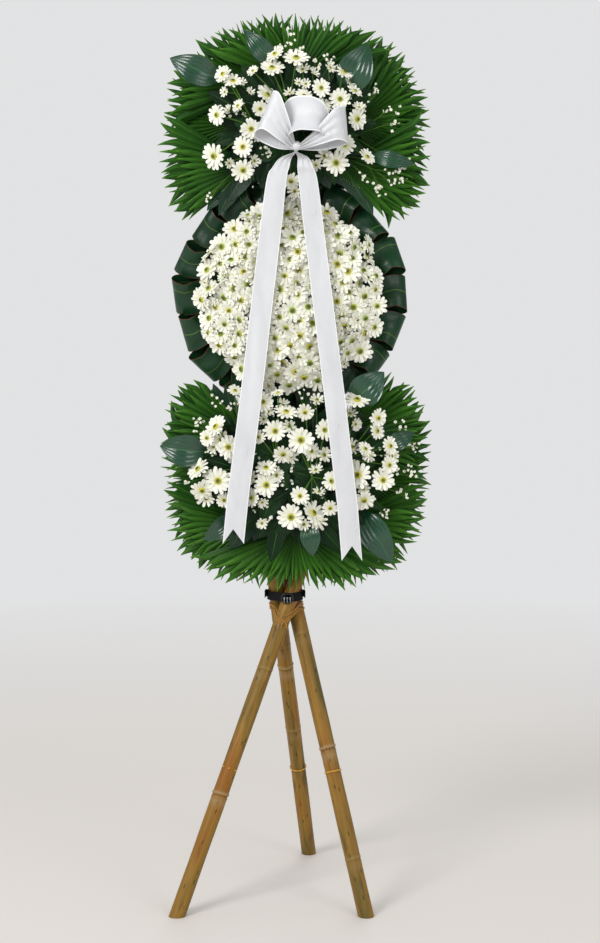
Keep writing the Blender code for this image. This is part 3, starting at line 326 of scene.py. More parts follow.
def smooth_path(points, count):
    """A smooth curve through the points: on each stretch, the cubic whose slope at a point is half the
    step from the point before to the point after."""
    points = np.asarray(points, dtype=float)
    before = np.vstack((2 * points[:1] - points[1:2], points[:-1]))
    after = np.vstack((points[1:], 2 * points[-1:] - points[-2:-1]))
    slope = (after - before) / 2
    place = np.linspace(0, len(points) - 1, count)
    index = np.minimum(place.astype(int), len(points) - 2)
    t = (place - index)[:, None]
    return ((2 * t ** 3 - 3 * t ** 2 + 1) * points[index] + (t ** 3 - 2 * t ** 2 + t) * slope[index]
            + (3 * t ** 2 - 2 * t ** 3) * points[index + 1] + (t ** 3 - t ** 2) * slope[index + 1])


class Shape:
    """The points and faces of one piece, gathered part by part, with a UV and a tone at each point."""

    def __init__(self):
        self.points = []
        self.uvs = []
        self.tones = []
        self.faces = []
        self.slots = []
        self.total = 0

    def add(self, part, tone=0.5, slot=0):
        """Adds N copies of a part: points N x P x 3, a UV P x 2 or N x P x 2, and its face patterns."""
        points, patterns, uv = part
        copies, size = points.shape[:2]
        starts = self.total + np.arange(copies) * size
        for pattern in patterns:
            faces = (pattern[None] + starts[:, None, None]).reshape(-1, pattern.shape[1])
            self.faces.append(faces)
            self.slots.append(np.full(len(faces), slot))
        self.points.append(points.reshape(-1, 3))
        self.uvs.append(np.broadcast_to(uv, (copies, size, 2)).reshape(-1, 2))
        self.tones.append(np.broadcast_to(np.reshape(tone, (-1, 1)), (copies, size)).reshape(-1))
        self.total += copies * size

    def make(self, name, looks, replaced=()):
        """Puts the parts into one mesh in the row's frame, and hands it to the frame."""
        points = np.concatenate(self.points) + SHIFT
        uvs = np.concatenate(self.uvs)
        corners = np.concatenate([faces.ravel() for faces in self.faces])
        counts = np.concatenate([np.full(len(faces), faces.shape[1]) for faces in self.faces])
        starts = np.concatenate(([0], np.cumsum(counts)[:-1]))
        mesh = bpy.data.meshes.new(name)
        mesh.vertices.add(len(points))
        mesh.vertices.foreach_set("co", points.ravel().astype(np.float32))
        mesh.loops.add(len(corners))
        mesh.loops.foreach_set("vertex_index", corners.astype(np.int32))
        mesh.polygons.add(len(counts))
        mesh.polygons.foreach_set("loop_start", starts.astype(np.int32))
        mesh.polygons.foreach_set("material_index", np.concatenate(self.slots).astype(np.int32))
        mesh.update(calc_edges=True)
        mesh.validate()
        layer = mesh.uv_layers.new(name="UVMap")
        layer.data.foreach_set("uv", uvs[corners].ravel().astype(np.float32))
        tone = mesh.attributes.new("tone", "FLOAT", "POINT")
        tone.data.foreach_set("value", np.concatenate(self.tones).astype(np.float32))
        mesh.shade_smooth()
        mesh.set_sharp_from_angle(angle=math.radians(SHARP_DEGREES))
        for look in looks:
            mesh.materials.append(look)
        piece = bpy.data.objects.new(name, mesh)
        bpy.context.scene.collection.objects.link(piece)
        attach(piece, "root")
        for node in replaced:
            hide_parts(node)
        return piece


def grid_index(rows, columns):
    """The number of each point of a grid."""
    return np.arange(rows * columns).reshape(rows, columns)


def quads(a, b, c, d):
    """Four-sided faces from their first, second, third and fourth corners."""
    return np.stack([part.ravel() for part in (a, b, c, d)], axis=1)


def round_faces(count, sides, ring=False):
    """Faces round a bar whose points lie in rings, with a cap at each end, or closed on itself."""
    index = grid_index(count, sides)
    index = np.hstack((index, index[:, :1]))
    if ring:
        index = np.vstack((index, index[:1]))
    patterns = [quads(index[:-1, :-1], index[:-1, 1:], index[1:, 1:], index[1:, :-1])]
    if not ring:
        patterns += [index[:1, sides - 1::-1], index[-1:, :sides]]
    return patterns


def sheet(grid, thickness):
    """N thin closed solids round N grids of points: each grid moved half the thickness along its
    normal both ways, with a strip round the edge. The UV runs 0 to 1 across and along."""
    grid = np.asarray(grid, dtype=float)
    copies, rows, columns = grid.shape[:3]
    across = np.gradient(grid, axis=2)
    along = np.gradient(grid, axis=1)
    normal = unit(np.cross(across, along))
    half = np.broadcast_to(thickness, (copies, rows, columns))[..., None] / 2
    points = np.concatenate(((grid + normal * half).reshape(copies, -1, 3),
                             (grid - normal * half).reshape(copies, -1, 3)), axis=1)
    front = grid_index(rows, columns)
    back = front + rows * columns
    patterns = [np.vstack((
        quads(front[:-1, :-1], front[:-1, 1:], front[1:, 1:], front[1:, :-1]),
        quads(back[:-1, :-1], back[1:, :-1], back[1:, 1:], back[:-1, 1:]),
        quads(front[:-1, 0], front[1:, 0], back[1:, 0], back[:-1, 0]),
        quads(front[1:, -1], front[:-1, -1], back[:-1, -1], back[1:, -1]),
        quads(front[0, 1:], front[0, :-1], back[0, :-1], back[0, 1:]),
        quads(front[-1, :-1], front[-1, 1:], back[-1, 1:], back[-1, :-1])))]
    uv = pair_up(np.linspace(0, 1, columns)[None], np.linspace(0, 1, rows)[:, None]).reshape(-1, 2)
    return points, patterns, np.tile(uv, (2, 1))


def tube(paths, radius, sides, ring=False, hint=(0.31, -0.23, 0.92)):
    """N round bars along N paths: a circle square to the path at each of its points, with flat ends,
    or closed on itself. The UV runs 0 to 1 round it, and in metres along it."""
    paths = np.asarray(paths, dtype=float)
    copies, count = paths.shape[:2]
    if ring:
        ahead = np.roll(paths, -1, axis=1) - np.roll(paths, 1, axis=1)
    else:
        ahead = np.gradient(paths, axis=1)
    ahead = unit(ahead)
    side = unit(np.cross(ahead, hint))
    up = np.cross(ahead, side)
    angles = np.arange(sides) * 2 * math.pi / sides
    radius = np.broadcast_to(radius, (copies, count))[..., None, None]
    points = (paths[:, :, None] + radius * (np.cos(angles)[:, None] * side[:, :, None]
                                            + np.sin(angles)[:, None] * up[:, :, None]))
    step = np.linalg.norm(np.diff(paths, axis=1), axis=2)
    run = np.concatenate((np.zeros((copies, 1)), np.cumsum(step, axis=1)), axis=1)
    uv = pair_up(np.arange(sides) / sides, run[..., None]).reshape(copies, -1, 2)
    return points.reshape(copies, -1, 3), round_faces(count, sides, ring), uv


def facing_frame(facing):
    """Two unit vectors square to each facing, the first of them level."""
    facing = unit(facing)
    side = unit(np.cross(facing, (0.02, 0.01, 1.0)))
    return side, np.cross(facing, side)


# Materials

def new_material(name):
    """A new material, its node tree and its shader."""
    material = bpy.data.materials.new(name)
    material.use_nodes = True
    tree = material.node_tree
    return material, tree, tree.nodes["Principled BSDF"]


def feed(tree, socket, value):
    """Gives a socket its value: a link from another socket, three numbers of a colour, or a number."""
    if isinstance(value, bpy.types.NodeSocket):
        tree.links.new(value, socket)
    elif socket.type == "RGBA":
        socket.default_value = (*value, 1.0)
    else:
        socket.default_value = value


def dress(tree, shader, **values):
    """Gives the shader's own sockets their values, each by the socket's name."""
    for name, value in values.items():
        feed(tree, shader.inputs[name.replace("_", " ")], value)


def add_node(tree, kind, **values):
    """A node with its properties, and its inputs where the value's name is in_ and a socket's name."""
    node = tree.nodes.new(kind)
    for name, value in values.items():
        if name.startswith("in_"):
            node.inputs[name[3:].replace("_", " ")].default_value = value
        else:
            setattr(node, name, value)
    return node


def ramp(tree, factor, stops):
    """A colour ramp through (place, colour) stops."""
    node = tree.nodes.new("ShaderNodeValToRGB")
    elements = node.color_ramp.elements
    while len(elements) < len(stops):
        elements.new(0.5)
    for element, (place, colour) in zip(elements, stops):
        element.position = place
        element.color = (*colour, 1.0)
    tree.links.new(factor, node.inputs["Fac"])
    return node.outputs["Color"]


def blend_colours(tree, factor, first, second):
    """Mixes two colours, each a socket or three numbers."""
    node = tree.nodes.new("ShaderNodeMix")
    node.data_type = "RGBA"
    for number, value in ((0, factor), (6, first), (7, second)):
        feed(tree, node.inputs[number], value)
    return node.outputs[2]


def maths(tree, operation, first, second=0.0, clamp=False):
    """The result of an operation on two values, each a socket or a number."""
    node = tree.nodes.new("ShaderNodeMath")
    node.operation = operation
    node.use_clamp = clamp
    for socket, value in zip(node.inputs, (first, second)):
        feed(tree, socket, value)
    return node.outputs[0]


def scaled(tree, value, rate, start=0.0):
    """A value times a rate, plus a start."""
    product = maths(tree, "MULTIPLY", value, rate)
    return maths(tree, "ADD", product, start) if start else product


def over(tree, value, start, rate):
    """How far a value lies over a start, times a rate, kept from 0 to 1."""
    return maths(tree, "MULTIPLY", maths(tree, "SUBTRACT", value, start), rate, True)


def add_bump(tree, shader, height, strength, distance):
    """Relief on the shader from a height, with its strength and its depth in metres."""
    node = add_node(tree, "ShaderNodeBump", in_Strength=strength, in_Distance=distance)
    tree.links.new(height, node.inputs["Height"])
    tree.links.new(node.outputs["Normal"], shader.inputs["Normal"])


def place_on_object(tree):
    """The place on the piece, in metres."""
    return tree.nodes.new("ShaderNodeTexCoord").outputs["Object"]


def add_texture(tree, kind, place, stretch=None, **values):
    """A texture read at a place, which is first scaled along each axis where a stretch is given."""
    texture = add_node(tree, kind, **values)
    if stretch is not None:
        mapping = add_node(tree, "ShaderNodeMapping", in_Scale=stretch)
        tree.links.new(place, mapping.inputs["Vector"])
        place = mapping.outputs[0]
    tree.links.new(place, texture.inputs["Vector"])
    return texture


def begin_group(name, inputs, outputs):
    """A node group with float inputs (name, value), and outputs (name, kind)."""
    group = bpy.data.node_groups.new(name, "ShaderNodeTree")
    for socket_name, value in inputs:
        socket = group.interface.new_socket(socket_name, in_out="INPUT", socket_type="NodeSocketFloat")
        socket.default_value = value
    for socket_name, kind in outputs:
        group.interface.new_socket(socket_name, in_out="OUTPUT", socket_type=kind)
    start = group.nodes.new("NodeGroupInput")
    end = group.nodes.new("NodeGroupOutput")
    return group, start, end


def read_uv(tree):
    """The UV's values across and along."""
    coordinates = tree.nodes.new("ShaderNodeTexCoord")
    split = tree.nodes.new("ShaderNodeSeparateXYZ")
    tree.links.new(coordinates.outputs["UV"], split.inputs[0])
    return split.outputs["X"], split.outputs["Y"]


def make_leaf_veins():
    """Fine veins side by side along a leaf, a paler midrib, and slow mottling.

    The veins are a sine of the UV across times their number. The midrib is one minus the distance
    from the middle over its width.
    """
    group, start, end = begin_group(
        "leaf_veins", (("Veins", 40.0), ("Midrib", 0.05), ("Mottle scale", 30.0)),
        (("Veins", "NodeSocketFloat"), ("Midrib", "NodeSocketFloat"), ("Mottle", "NodeSocketFloat")))
    across, _ = read_uv(group)
    turns = maths(group, "MULTIPLY", across, start.outputs["Veins"])
    wave = maths(group, "SINE", scaled(group, turns, 2 * math.pi))
    group.links.new(scaled(group, wave, 0.5, 0.5), end.inputs["Veins"])
    off_middle = maths(group, "ABSOLUTE", maths(group, "SUBTRACT", across, 0.5))
    rib = maths(group, "SUBTRACT", 1.0, maths(group, "DIVIDE", off_middle, start.outputs["Midrib"]), True)
    group.links.new(rib, end.inputs["Midrib"])
    noise = add_texture(group, "ShaderNodeTexNoise", place_on_object(group), in_Detail=4.0, in_Roughness=0.6)
    group.links.new(start.outputs["Mottle scale"], noise.inputs["Scale"])
    group.links.new(noise.outputs["Fac"], end.inputs["Mottle"])
    return group


def make_cloth_weave():
    """A plain weave: the larger of two crossed sets of ribs, read along the UV in metres."""
    group, start, end = begin_group("cloth_weave", (("Threads", 900.0),), (("Height", "NodeSocketFloat"),))
    ribs = []
    for way in read_uv(group):
        turns = maths(group, "MULTIPLY", way, start.outputs["Threads"])
        ribs.append(maths(group, "ABSOLUTE", maths(group, "SINE", turns)))
    group.links.new(maths(group, "MAXIMUM", *ribs), end.inputs["Height"])
    return group


LEAF_VEINS = make_leaf_veins()
CLOTH_WEAVE = make_cloth_weave()


def place_group(tree, group, **values):
    """A copy of a node group, with its inputs by name."""
    node = tree.nodes.new("ShaderNodeGroup")
    node.node_tree = group
    for name, value in values.items():
        node.inputs[name.replace("_", " ")].default_value = value
    return node


def read_tone(tree):
    """The tone at each point of the piece, from 0 to 1."""
    return add_node(tree, "ShaderNodeAttribute", attribute_name="tone").outputs["Fac"]


def leaf_material(name, dark, light, rib, veins, midrib, roughness, tip=None, coat=0.0, mottle=30.0,
                  root_shade=1.0, specular=0.2):
    """A leaf: dark to light by its tone and mottling, a paler midrib, fine veins in relief, and where
    they are asked for a paler tip and painted shade at the root."""
    material, tree, shader = new_material(name)
    marks = place_group(tree, LEAF_VEINS, Veins=veins, Midrib=midrib, Mottle_scale=mottle).outputs
    spread = maths(tree, "ADD", scaled(tree, marks["Mottle"], 0.7),
                   maths(tree, "SUBTRACT", read_tone(tree), 0.35), True)
    colour = blend_colours(tree, spread, dark, light)
    grooves = scaled(tree, marks["Veins"], 0.35, 0.5)
    colour = blend_colours(tree, grooves, colour, tuple(channel * 0.6 for channel in dark))
    colour = blend_colours(tree, scaled(tree, marks["Midrib"], 0.55), colour, rib)
    if tip is not None:
        _, along = read_uv(tree)
        colour = blend_colours(tree, scaled(tree, over(tree, along, 0.72, 2.6), 0.7), colour, tip)
        # A darker root, down to a third of the dark colour, as painted shade where the blades crowd at the
        # hub; a root_shade of 1 leaves it out.
        near_root = maths(tree, "SUBTRACT", 1.0, scaled(tree, along, 1.6), True)
        colour = blend_colours(tree, scaled(tree, near_root, 1.0 - root_shade), colour,
                               tuple(channel * 0.3 for channel in dark))
    gloss = scaled(tree, marks["Mottle"], 0.2, roughness - 0.1)
    dress(tree, shader, Base_Color=colour, Roughness=gloss, Coat_Weight=coat, Coat_Roughness=0.18,
          Specular_IOR_Level=specular)
    relief = maths(tree, "ADD", marks["Veins"], scaled(tree, marks["Midrib"], 1.5))
    add_bump(tree, shader, relief, 0.35, 0.0006)
    return material


def make_petal():
    """White petal: cream at its root, faint lengthways grooves, greenish where it is in shade."""
    material, tree, shader = new_material("daisy_petal")
    marks = place_group(tree, LEAF_VEINS, Veins=3.0, Midrib=0.3, Mottle_scale=60.0).outputs
    _, along = read_uv(tree)
    colour = ramp(tree, along, ((0.0, (0.62, 0.66, 0.26)), (0.16, (0.82, 0.83, 0.62)),
                                (0.42, (0.90, 0.895, 0.77)), (1.0, (0.93, 0.925, 0.83))))
    colour = blend_colours(tree, scaled(tree, read_tone(tree), 0.35), colour, (0.84, 0.83, 0.66))
    gloss = scaled(tree, marks["Mottle"], 0.2, 0.42)
    dress(tree, shader, Base_Color=colour, Roughness=gloss, Subsurface_Weight=0.12,
          Subsurface_Radius=(0.006, 0.006, 0.004), Subsurface_Scale=0.5)
    add_bump(tree, shader, marks["Veins"], 0.25, 0.0005)
    return material


def make_eye():
    """The eye: a dark dot in green, in a ring of yellow florets with painted shade between them, read from
    its rim to its top.
    """
    material, tree, shader = new_material("daisy_eye")
    _, along = read_uv(tree)
    share = maths(tree, "DIVIDE", along, EYE_RUN)
    yellow = ramp(tree, share, ((0.0, (0.60, 0.55, 0.04)), (0.45, (0.80, 0.62, 0.03)),
                                (0.72, (0.56, 0.55, 0.03)), (0.84, (0.05, 0.07, 0.01))))
    green = ramp(tree, share, ((0.0, (0.42, 0.52, 0.06)), (0.45, (0.30, 0.46, 0.04)),
                               (0.72, (0.13, 0.27, 0.03)), (0.84, (0.02, 0.05, 0.01))))
    colour = blend_colours(tree, read_tone(tree), yellow, green)
    florets = add_texture(tree, "ShaderNodeTexVoronoi", place_on_object(tree), in_Scale=1500.0)
    off_floret = florets.outputs["Distance"]
    # Darker away from each floret's middle: painted shade between the florets.
    colour = blend_colours(tree, scaled(tree, off_floret, 0.5), colour, (0.25, 0.22, 0.02))
    dress(tree, shader, Base_Color=colour, Roughness=0.6)
    add_bump(tree, shader, off_floret, 0.6, 0.0006)
    return material


def make_satin():
    """White satin ribbon: fine cross weave, brighter selvedge, soft creases along it with painted shade in
    their hollows.
    """
    material, tree, shader = new_material("white_satin")
    across, _ = read_uv(tree)
    weave = place_group(tree, CLOTH_WEAVE, Threads=6000.0).outputs["Height"]
    creases = add_texture(tree, "ShaderNodeTexNoise", place_on_object(tree), (26.0, 26.0, 7.0),
                          in_Scale=1.0, in_Detail=3.0, in_Distortion=0.6).outputs["Fac"]
    off_middle = maths(tree, "ABSOLUTE", maths(tree, "SUBTRACT", across, RIBBON_WIDTH / 2))
    selvedge = maths(tree, "GREATER_THAN", off_middle, RIBBON_WIDTH / 2 - SELVEDGE_WIDTH)
    # The colour follows the crease noise, darker where it is low: painted shade in the creases' hollows.
    colour = ramp(tree, creases, ((0.3, (0.600, 0.607, 0.622)), (0.7, (0.695, 0.700, 0.712))))
    colour = blend_colours(tree, selvedge, colour, (0.88, 0.88, 0.89))
    gloss = scaled(tree, creases, 0.2, 0.20)
    dress(tree, shader, Base_Color=colour, Roughness=gloss, Specular_IOR_Level=0.75, Sheen_Weight=0.25,
          Anisotropic=0.5)
    height = maths(tree, "ADD", scaled(tree, weave, 0.12),
                   maths(tree, "ADD", creases, scaled(tree, selvedge, 0.3)))
    add_bump(tree, shader, height, 0.45, 0.0035)
    return material


def make_bamboo():
    """Bamboo skin: long patches of olive, tan and orange brown, fine streaks, dark marks and specks,
    and at the nodes a pale collar with a thin dark line.

    The patches and streaks are noise stretched along the culm, read from the grain attribute, which
    holds the place round and along the culm in metres. A tone over 0.5 darkens the skin, and one
    under it makes it paler.
    """
    material, tree, shader = new_material("bamboo_skin")
    grain = add_node(tree, "ShaderNodeAttribute", attribute_name="grain").outputs["Vector"]

    def noise(stretch, **values):
        return add_texture(tree, "ShaderNodeTexNoise", grain, stretch, in_Scale=1.0, **values).outputs["Fac"]

    patches = noise((42.0, 42.0, 5.5), in_Detail=3.0)
    streaks = noise((230.0, 230.0, 7.0), in_Detail=5.0, in_Roughness=0.65)
    marks = noise((95.0, 95.0, 13.0), in_Detail=2.0)
    specks = add_texture(tree, "ShaderNodeTexVoronoi", grain, (120.0, 120.0, 30.0), in_Scale=1.0)
    speck = maths(tree, "LESS_THAN", specks.outputs["Distance"], 0.15)
    tone = read_tone(tree)
    colour = ramp(tree, patches, ((0.34, (0.115, 0.088, 0.018)), (0.46, (0.23, 0.130, 0.021)),
                                  (0.56, (0.29, 0.155, 0.022)), (0.70, (0.27, 0.098, 0.009))))
    for factor, laid_over in (
            (over(tree, streaks, 0.40, 1.8), (0.120, 0.068, 0.013)),
            (scaled(tree, over(tree, marks, 0.575, 5.5), 0.75), (0.045, 0.030, 0.010)),
            (scaled(tree, speck, 0.75), (0.026, 0.015, 0.006)),
            (over(tree, tone, 0.5, 1.5), (0.055, 0.032, 0.012)),
            (over(tree, tone, 0.5, -1.5), (0.34, 0.245, 0.130))):
        colour = blend_colours(tree, factor, colour, laid_over)
    gloss = scaled(tree, streaks, 0.35, 0.26)
    dress(tree, shader, Base_Color=colour, Roughness=gloss, Specular_IOR_Level=0.26)
    height = maths(tree, "SUBTRACT", streaks, scaled(tree, speck, 0.5))
    add_bump(tree, shader, height, 0.35, 0.0008)
    return material


def make_cord(name, groove, side, crest):
    """Waxed string: twisted strands as slanting ribs round and along it, with painted shade in the grooves
    and a painted highlight on the crests.
    """
    material, tree, shader = new_material(name)
    across, along = read_uv(tree)
    slant = maths(tree, "ADD", scaled(tree, across, 2.0), scaled(tree, along, 330.0))
    ribs = maths(tree, "ABSOLUTE", maths(tree, "SINE", scaled(tree, slant, math.pi)))
    # Groove colour is painted shade between the strands, crest colour a painted highlight on them; side is
    # the string's own colour.
    colour = ramp(tree, ribs, ((0.0, groove), (0.45, side), (1.0, crest)))
    dress(tree, shader, Base_Color=colour, Roughness=0.62)
    add_bump(tree, shader, ribs, 0.7, 0.0008)
    return material


def make_webbing():
    """Black webbing: a fine weave, a little darker between its threads as painted shade."""
    material, tree, shader = new_material("black_webbing")
    weave = place_group(tree, CLOTH_WEAVE, Threads=2600.0).outputs["Height"]
    # Darker where the weave is low: painted shade between the threads.
    colour = ramp(tree, weave, ((0.2, (0.002, 0.002, 0.002)), (1.0, (0.009, 0.009, 0.010))))
    dress(tree, shader, Base_Color=colour, Roughness=0.55, Specular_IOR_Level=0.12)
    add_bump(tree, shader, weave, 0.6, 0.0006)
    return material


def mottled_material(name, first, second, scale, roughness, bump, metallic=0.0):
    """A plain stuff with slow and fine mottling in its colour and its relief."""
    material, tree, shader = new_material(name)
    noise = add_texture(tree, "ShaderNodeTexNoise", place_on_object(tree), in_Scale=scale, in_Detail=6.0,
                        in_Roughness=0.6).outputs["Fac"]
    colour = ramp(tree, noise, ((0.32, first), (0.68, second)))
    gloss = scaled(tree, noise, 0.25, roughness - 0.12)
    dress(tree, shader, Base_Color=colour, Roughness=gloss, Metallic=metallic, Specular_IOR_Level=0.4)
    add_bump(tree, shader, noise, bump, 0.001)
    return material


# The palm blades darken towards the hub: painted shade.
PALM = leaf_material("palm_blade", (0.013, 0.082, 0.008), (0.142, 0.455, 0.032), (0.15, 0.42, 0.03),
                     5.0, 0.06, 0.42, tip=(0.200, 0.430, 0.035), root_shade=0.12)
FOLDED = leaf_material("folded_blade", (0.003, 0.032, 0.009), (0.017, 0.118, 0.036), (0.20, 0.34, 0.02),
                       30.0, 0.016, 0.33, coat=0.22, mottle=18.0, specular=0.28)
BROAD = leaf_material("glossy_blade", (0.004, 0.050, 0.018), (0.014, 0.140, 0.058), (0.06, 0.24, 0.08),
                      22.0, 0.03, 0.32, coat=0.9, mottle=22.0, specular=0.35)
FOLIAGE = leaf_material("daisy_foliage", (0.002, 0.020, 0.003), (0.016, 0.098, 0.011), (0.04, 0.14, 0.02),
                        9.0, 0.05, 0.46, mottle=40.0)
STEM = leaf_material("green_stem", (0.04, 0.12, 0.010), (0.12, 0.28, 0.030), (0.13, 0.26, 0.04),
                     4.0, 0.2, 0.5, mottle=60.0)
PETAL = make_petal()
EYE = make_eye()
SATIN = make_satin()
BAMBOO = make_bamboo()
# Each cord runs from painted shade in its grooves, through its own colour, to a painted highlight on its
# crests.
CORD = make_cord("waxed_cord", (0.16, 0.060, 0.008), (0.42, 0.19, 0.025), (0.56, 0.28, 0.050))
STRING = make_cord("orange_string", (0.34, 0.130, 0.008), (0.66, 0.32, 0.025), (0.80, 0.44, 0.050))
WEBBING = make_webbing()
LEAF_EDGE, FOAM, MAST_PAINT, PICK_WOOD, BUCKLE, GLINT = [mottled_material(*look) for look in (
    ("browned_cut", (0.075, 0.022, 0.012), (0.14, 0.045, 0.022), 90.0, 0.6, 0.3),
    ("wet_foam", (0.018, 0.065, 0.030), (0.040, 0.115, 0.055), 420.0, 0.85, 0.9),
    ("dark_pole", (0.010, 0.014, 0.010), (0.030, 0.034, 0.028), 60.0, 0.5, 0.25),
    ("raw_pick", (0.36, 0.25, 0.12), (0.50, 0.37, 0.20), 300.0, 0.7, 0.4),
    ("buckle_black", (0.004, 0.004, 0.005), (0.012, 0.012, 0.013), 200.0, 0.36, 0.15),
    ("buckle_steel", (0.30, 0.31, 0.33), (0.45, 0.46, 0.48), 300.0, 0.32, 0.1, 1.0))]
DAISY_LOOKS = [PETAL, EYE, STEM]


# Bamboo, lashing and strap

def leg_point(name, height):
    """The point on a leg's axis at a height."""
    foot_x, foot_y, cross_x, cross_y, _ = LEGS[name]
    share = np.asarray(height, dtype=float) / CROSSING_HEIGHT
    place = (foot_x + (cross_x - foot_x) * share, foot_y + (cross_y - foot_y) * share, height)
    return np.stack(np.broadcast_arrays(*place), axis=-1)


def leg_axis(name):
    """The way up a leg, and two unit vectors square to it."""
    axis = unit(leg_point(name, CULM_TOP) - leg_point(name, 0.0))
    return (axis, *facing_frame(axis))


def bells(off, table):
    """A sum of bell curves, each with its height, how far below the node it stands, and its width."""
    return sum(height * np.exp(-((off + below) / width) ** 2) for height, below, width in table)


def add_leg(name, seed):
    """A culm: its radius is the plain one plus slow waves along it and round it, and at each node a
    ridge over a shallow groove, as bell curves. The lowest ring is cut at the floor. The tone marks
    each node with a pale collar, a thin dark line under it and a paler zone below."""
    foot = leg_point(name, 0.0)
    length = np.linalg.norm(leg_point(name, CULM_TOP) - foot)
    axis = (leg_point(name, CULM_TOP) - foot) / length
    run = np.linspace(0.0, length, 420)
    sides = 40
    angles = np.arange(sides) * 2 * math.pi / sides
    radius = np.full((len(run), sides), CULM_RADIUS)
    radius += 0.00022 * np.sin(run * 31 + seed)[:, None] + 0.00018 * np.sin(angles * 2 + seed)[None]
    tone = np.zeros((len(run), sides))
    for height in LEGS[name][4]:
        strength = FAINT_NODES.get(height, 1.0)
        off = (run - height / axis[2])[:, None] - 0.0012 * np.sin(angles + seed)[None]
        radius += strength * bells(off, NODE_RELIEF)
        tone += strength * bells(off, NODE_TONES)
    ring = round_about(angles, *facing_frame(axis))
    points = foot + run[:, None, None] * axis + radius[..., None] * ring[None]
    points[0] -= np.outer(points[0, :, 2] / axis[2], axis)
    points[1:, :, 2] = np.maximum(points[1:, :, 2], 0.0002)
    uv = pair_up(np.arange(sides)[None] / sides, run[:, None]).reshape(-1, 2)
    culm = Shape()
    culm.add((points.reshape(1, -1, 3), round_faces(len(run), sides), uv))
    culm.tones = [np.clip(0.5 + tone, 0, 1).ravel()]
    piece = culm.make("culm_" + name.split("_")[-1], [BAMBOO], [name])
    round_culm = (np.cos(angles)[None] * CULM_RADIUS + seed, np.sin(angles)[None] * CULM_RADIUS)
    grain = np.stack(np.broadcast_arrays(*round_culm, run[:, None]), axis=-1)
    attribute = piece.data.attributes.new("grain", "FLOAT_VECTOR", "POINT")
    attribute.data.foreach_set("vector", grain.ravel().astype(np.float32))


def girdle(low, high, grow, stations):
    """Points round all three legs between two heights, grow outside them: for each outward direction,
    the furthest point of the ellipses that a level plane cuts from the leaning culms."""
    turns = np.arange(stations) * 2.0 * math.pi / stations
    outwards = np.column_stack((np.cos(turns), np.sin(turns)))
    furthest = np.full(stations, -1.0)
    points = np.zeros((stations, 2))
    for name in LEGS:
        lean = unit(leg_point(name, CULM_TOP) - leg_point(name, 0.0))
        long_way = unit(lean[:2])
        short_way = np.array([-long_way[1], long_way[0]])
        long_part = outwards @ long_way * CULM_RADIUS / lean[2]
        short_part = outwards @ short_way * CULM_RADIUS
        reach = np.hypot(long_part, short_part)
        rim = (np.outer(long_part * CULM_RADIUS / lean[2], long_way)
               + np.outer(short_part * CULM_RADIUS, short_way)) / reach[:, None]
        for height in np.linspace(low, high, 5):
            place = leg_point(name, height)[:2] + rim + outwards * grow
            out = np.sum(place * outwards, axis=1)
            better = out > furthest
            points[better] = place[better]
            furthest[better] = out[better]
    return points


def even_ring(points, count):
    """The closed ring through the points, with its stations an even distance apart."""
    loop = np.vstack((points, points[:1]))
    run = run_along(loop)
    places = np.linspace(0, run[-1], count, endpoint=False)
    return np.column_stack([np.interp(places, run, loop[:, axis]) for axis in range(loop.shape[1])])


def hug_legs(levels, angles, middle, grow):
    """How far the ring round the legs lies from its middle, for each level and each way from it."""
    table = []
    for level in levels:
        ring = even_ring(girdle(level - 0.0015, level + 0.0015, grow, 90), 360) - middle
        away = np.arctan2(ring[:, 1], ring[:, 0])
        table.append(np.interp(angles, away, np.hypot(ring[:, 0], ring[:, 1]), period=2 * math.pi))
    return np.array(table)


def add_lashing():
    """Cord turns pulled tight round the crossing: level behind, and dipping to a V across the front."""
    angles = np.linspace(0, 2 * math.pi, 180, endpoint=False)
    levels = np.linspace(LASHING_HEIGHT - 0.030, LASHING_HEIGHT + 0.024, 13)
    middle = girdle(LASHING_HEIGHT, LASHING_HEIGHT, 0.0, 72).mean(axis=0)
    reach = hug_legs(levels, angles, middle, CORD_RADIUS * 0.60)
    lashing = Shape()
    aside = np.abs(np.cos(angles) + 0.10)
    front = np.clip(-np.sin(angles) * 2.5 + 0.3, 0, 1)
    for number, (drop, depth) in enumerate(LASHING_TURNS):
        dip = depth * np.clip(1 - aside * (0.92 + 0.05 * number), 0, 1) * front
        heights = LASHING_HEIGHT + 0.018 - drop - dip + 0.0012 * np.sin(angles * 2 + number * 1.9)
        place = (heights - levels[0]) / (levels[1] - levels[0])
        low = np.clip(place.astype(int), 0, len(levels) - 2)
        column = np.arange(len(angles))
        out = reach[low, column] + (place - low) * (reach[low + 1, column] - reach[low, column])
        path = np.column_stack((middle[0] + out * np.cos(angles), middle[1] + out * np.sin(angles), heights))
        lashing.add(tube(path[None], CORD_RADIUS * 0.58, 10, ring=True, hint=(0.0, 0.0, 1.0)))
    lowest = path[np.argmin(path[:, 2])]
    for side in (-1.0, 1.0):
        steps = ((0.0, -0.002, 0.002), (0.004 * side, -0.0035, -0.003), (0.006 * side, -0.0035, -0.012))
        ends = smooth_path([lowest + step for step in steps], 14)
        lashing.add(tube(ends[None], CORD_RADIUS * 0.5, 8))
    lashing.make("cord_lashing", [CORD], ["leg_lashing"])


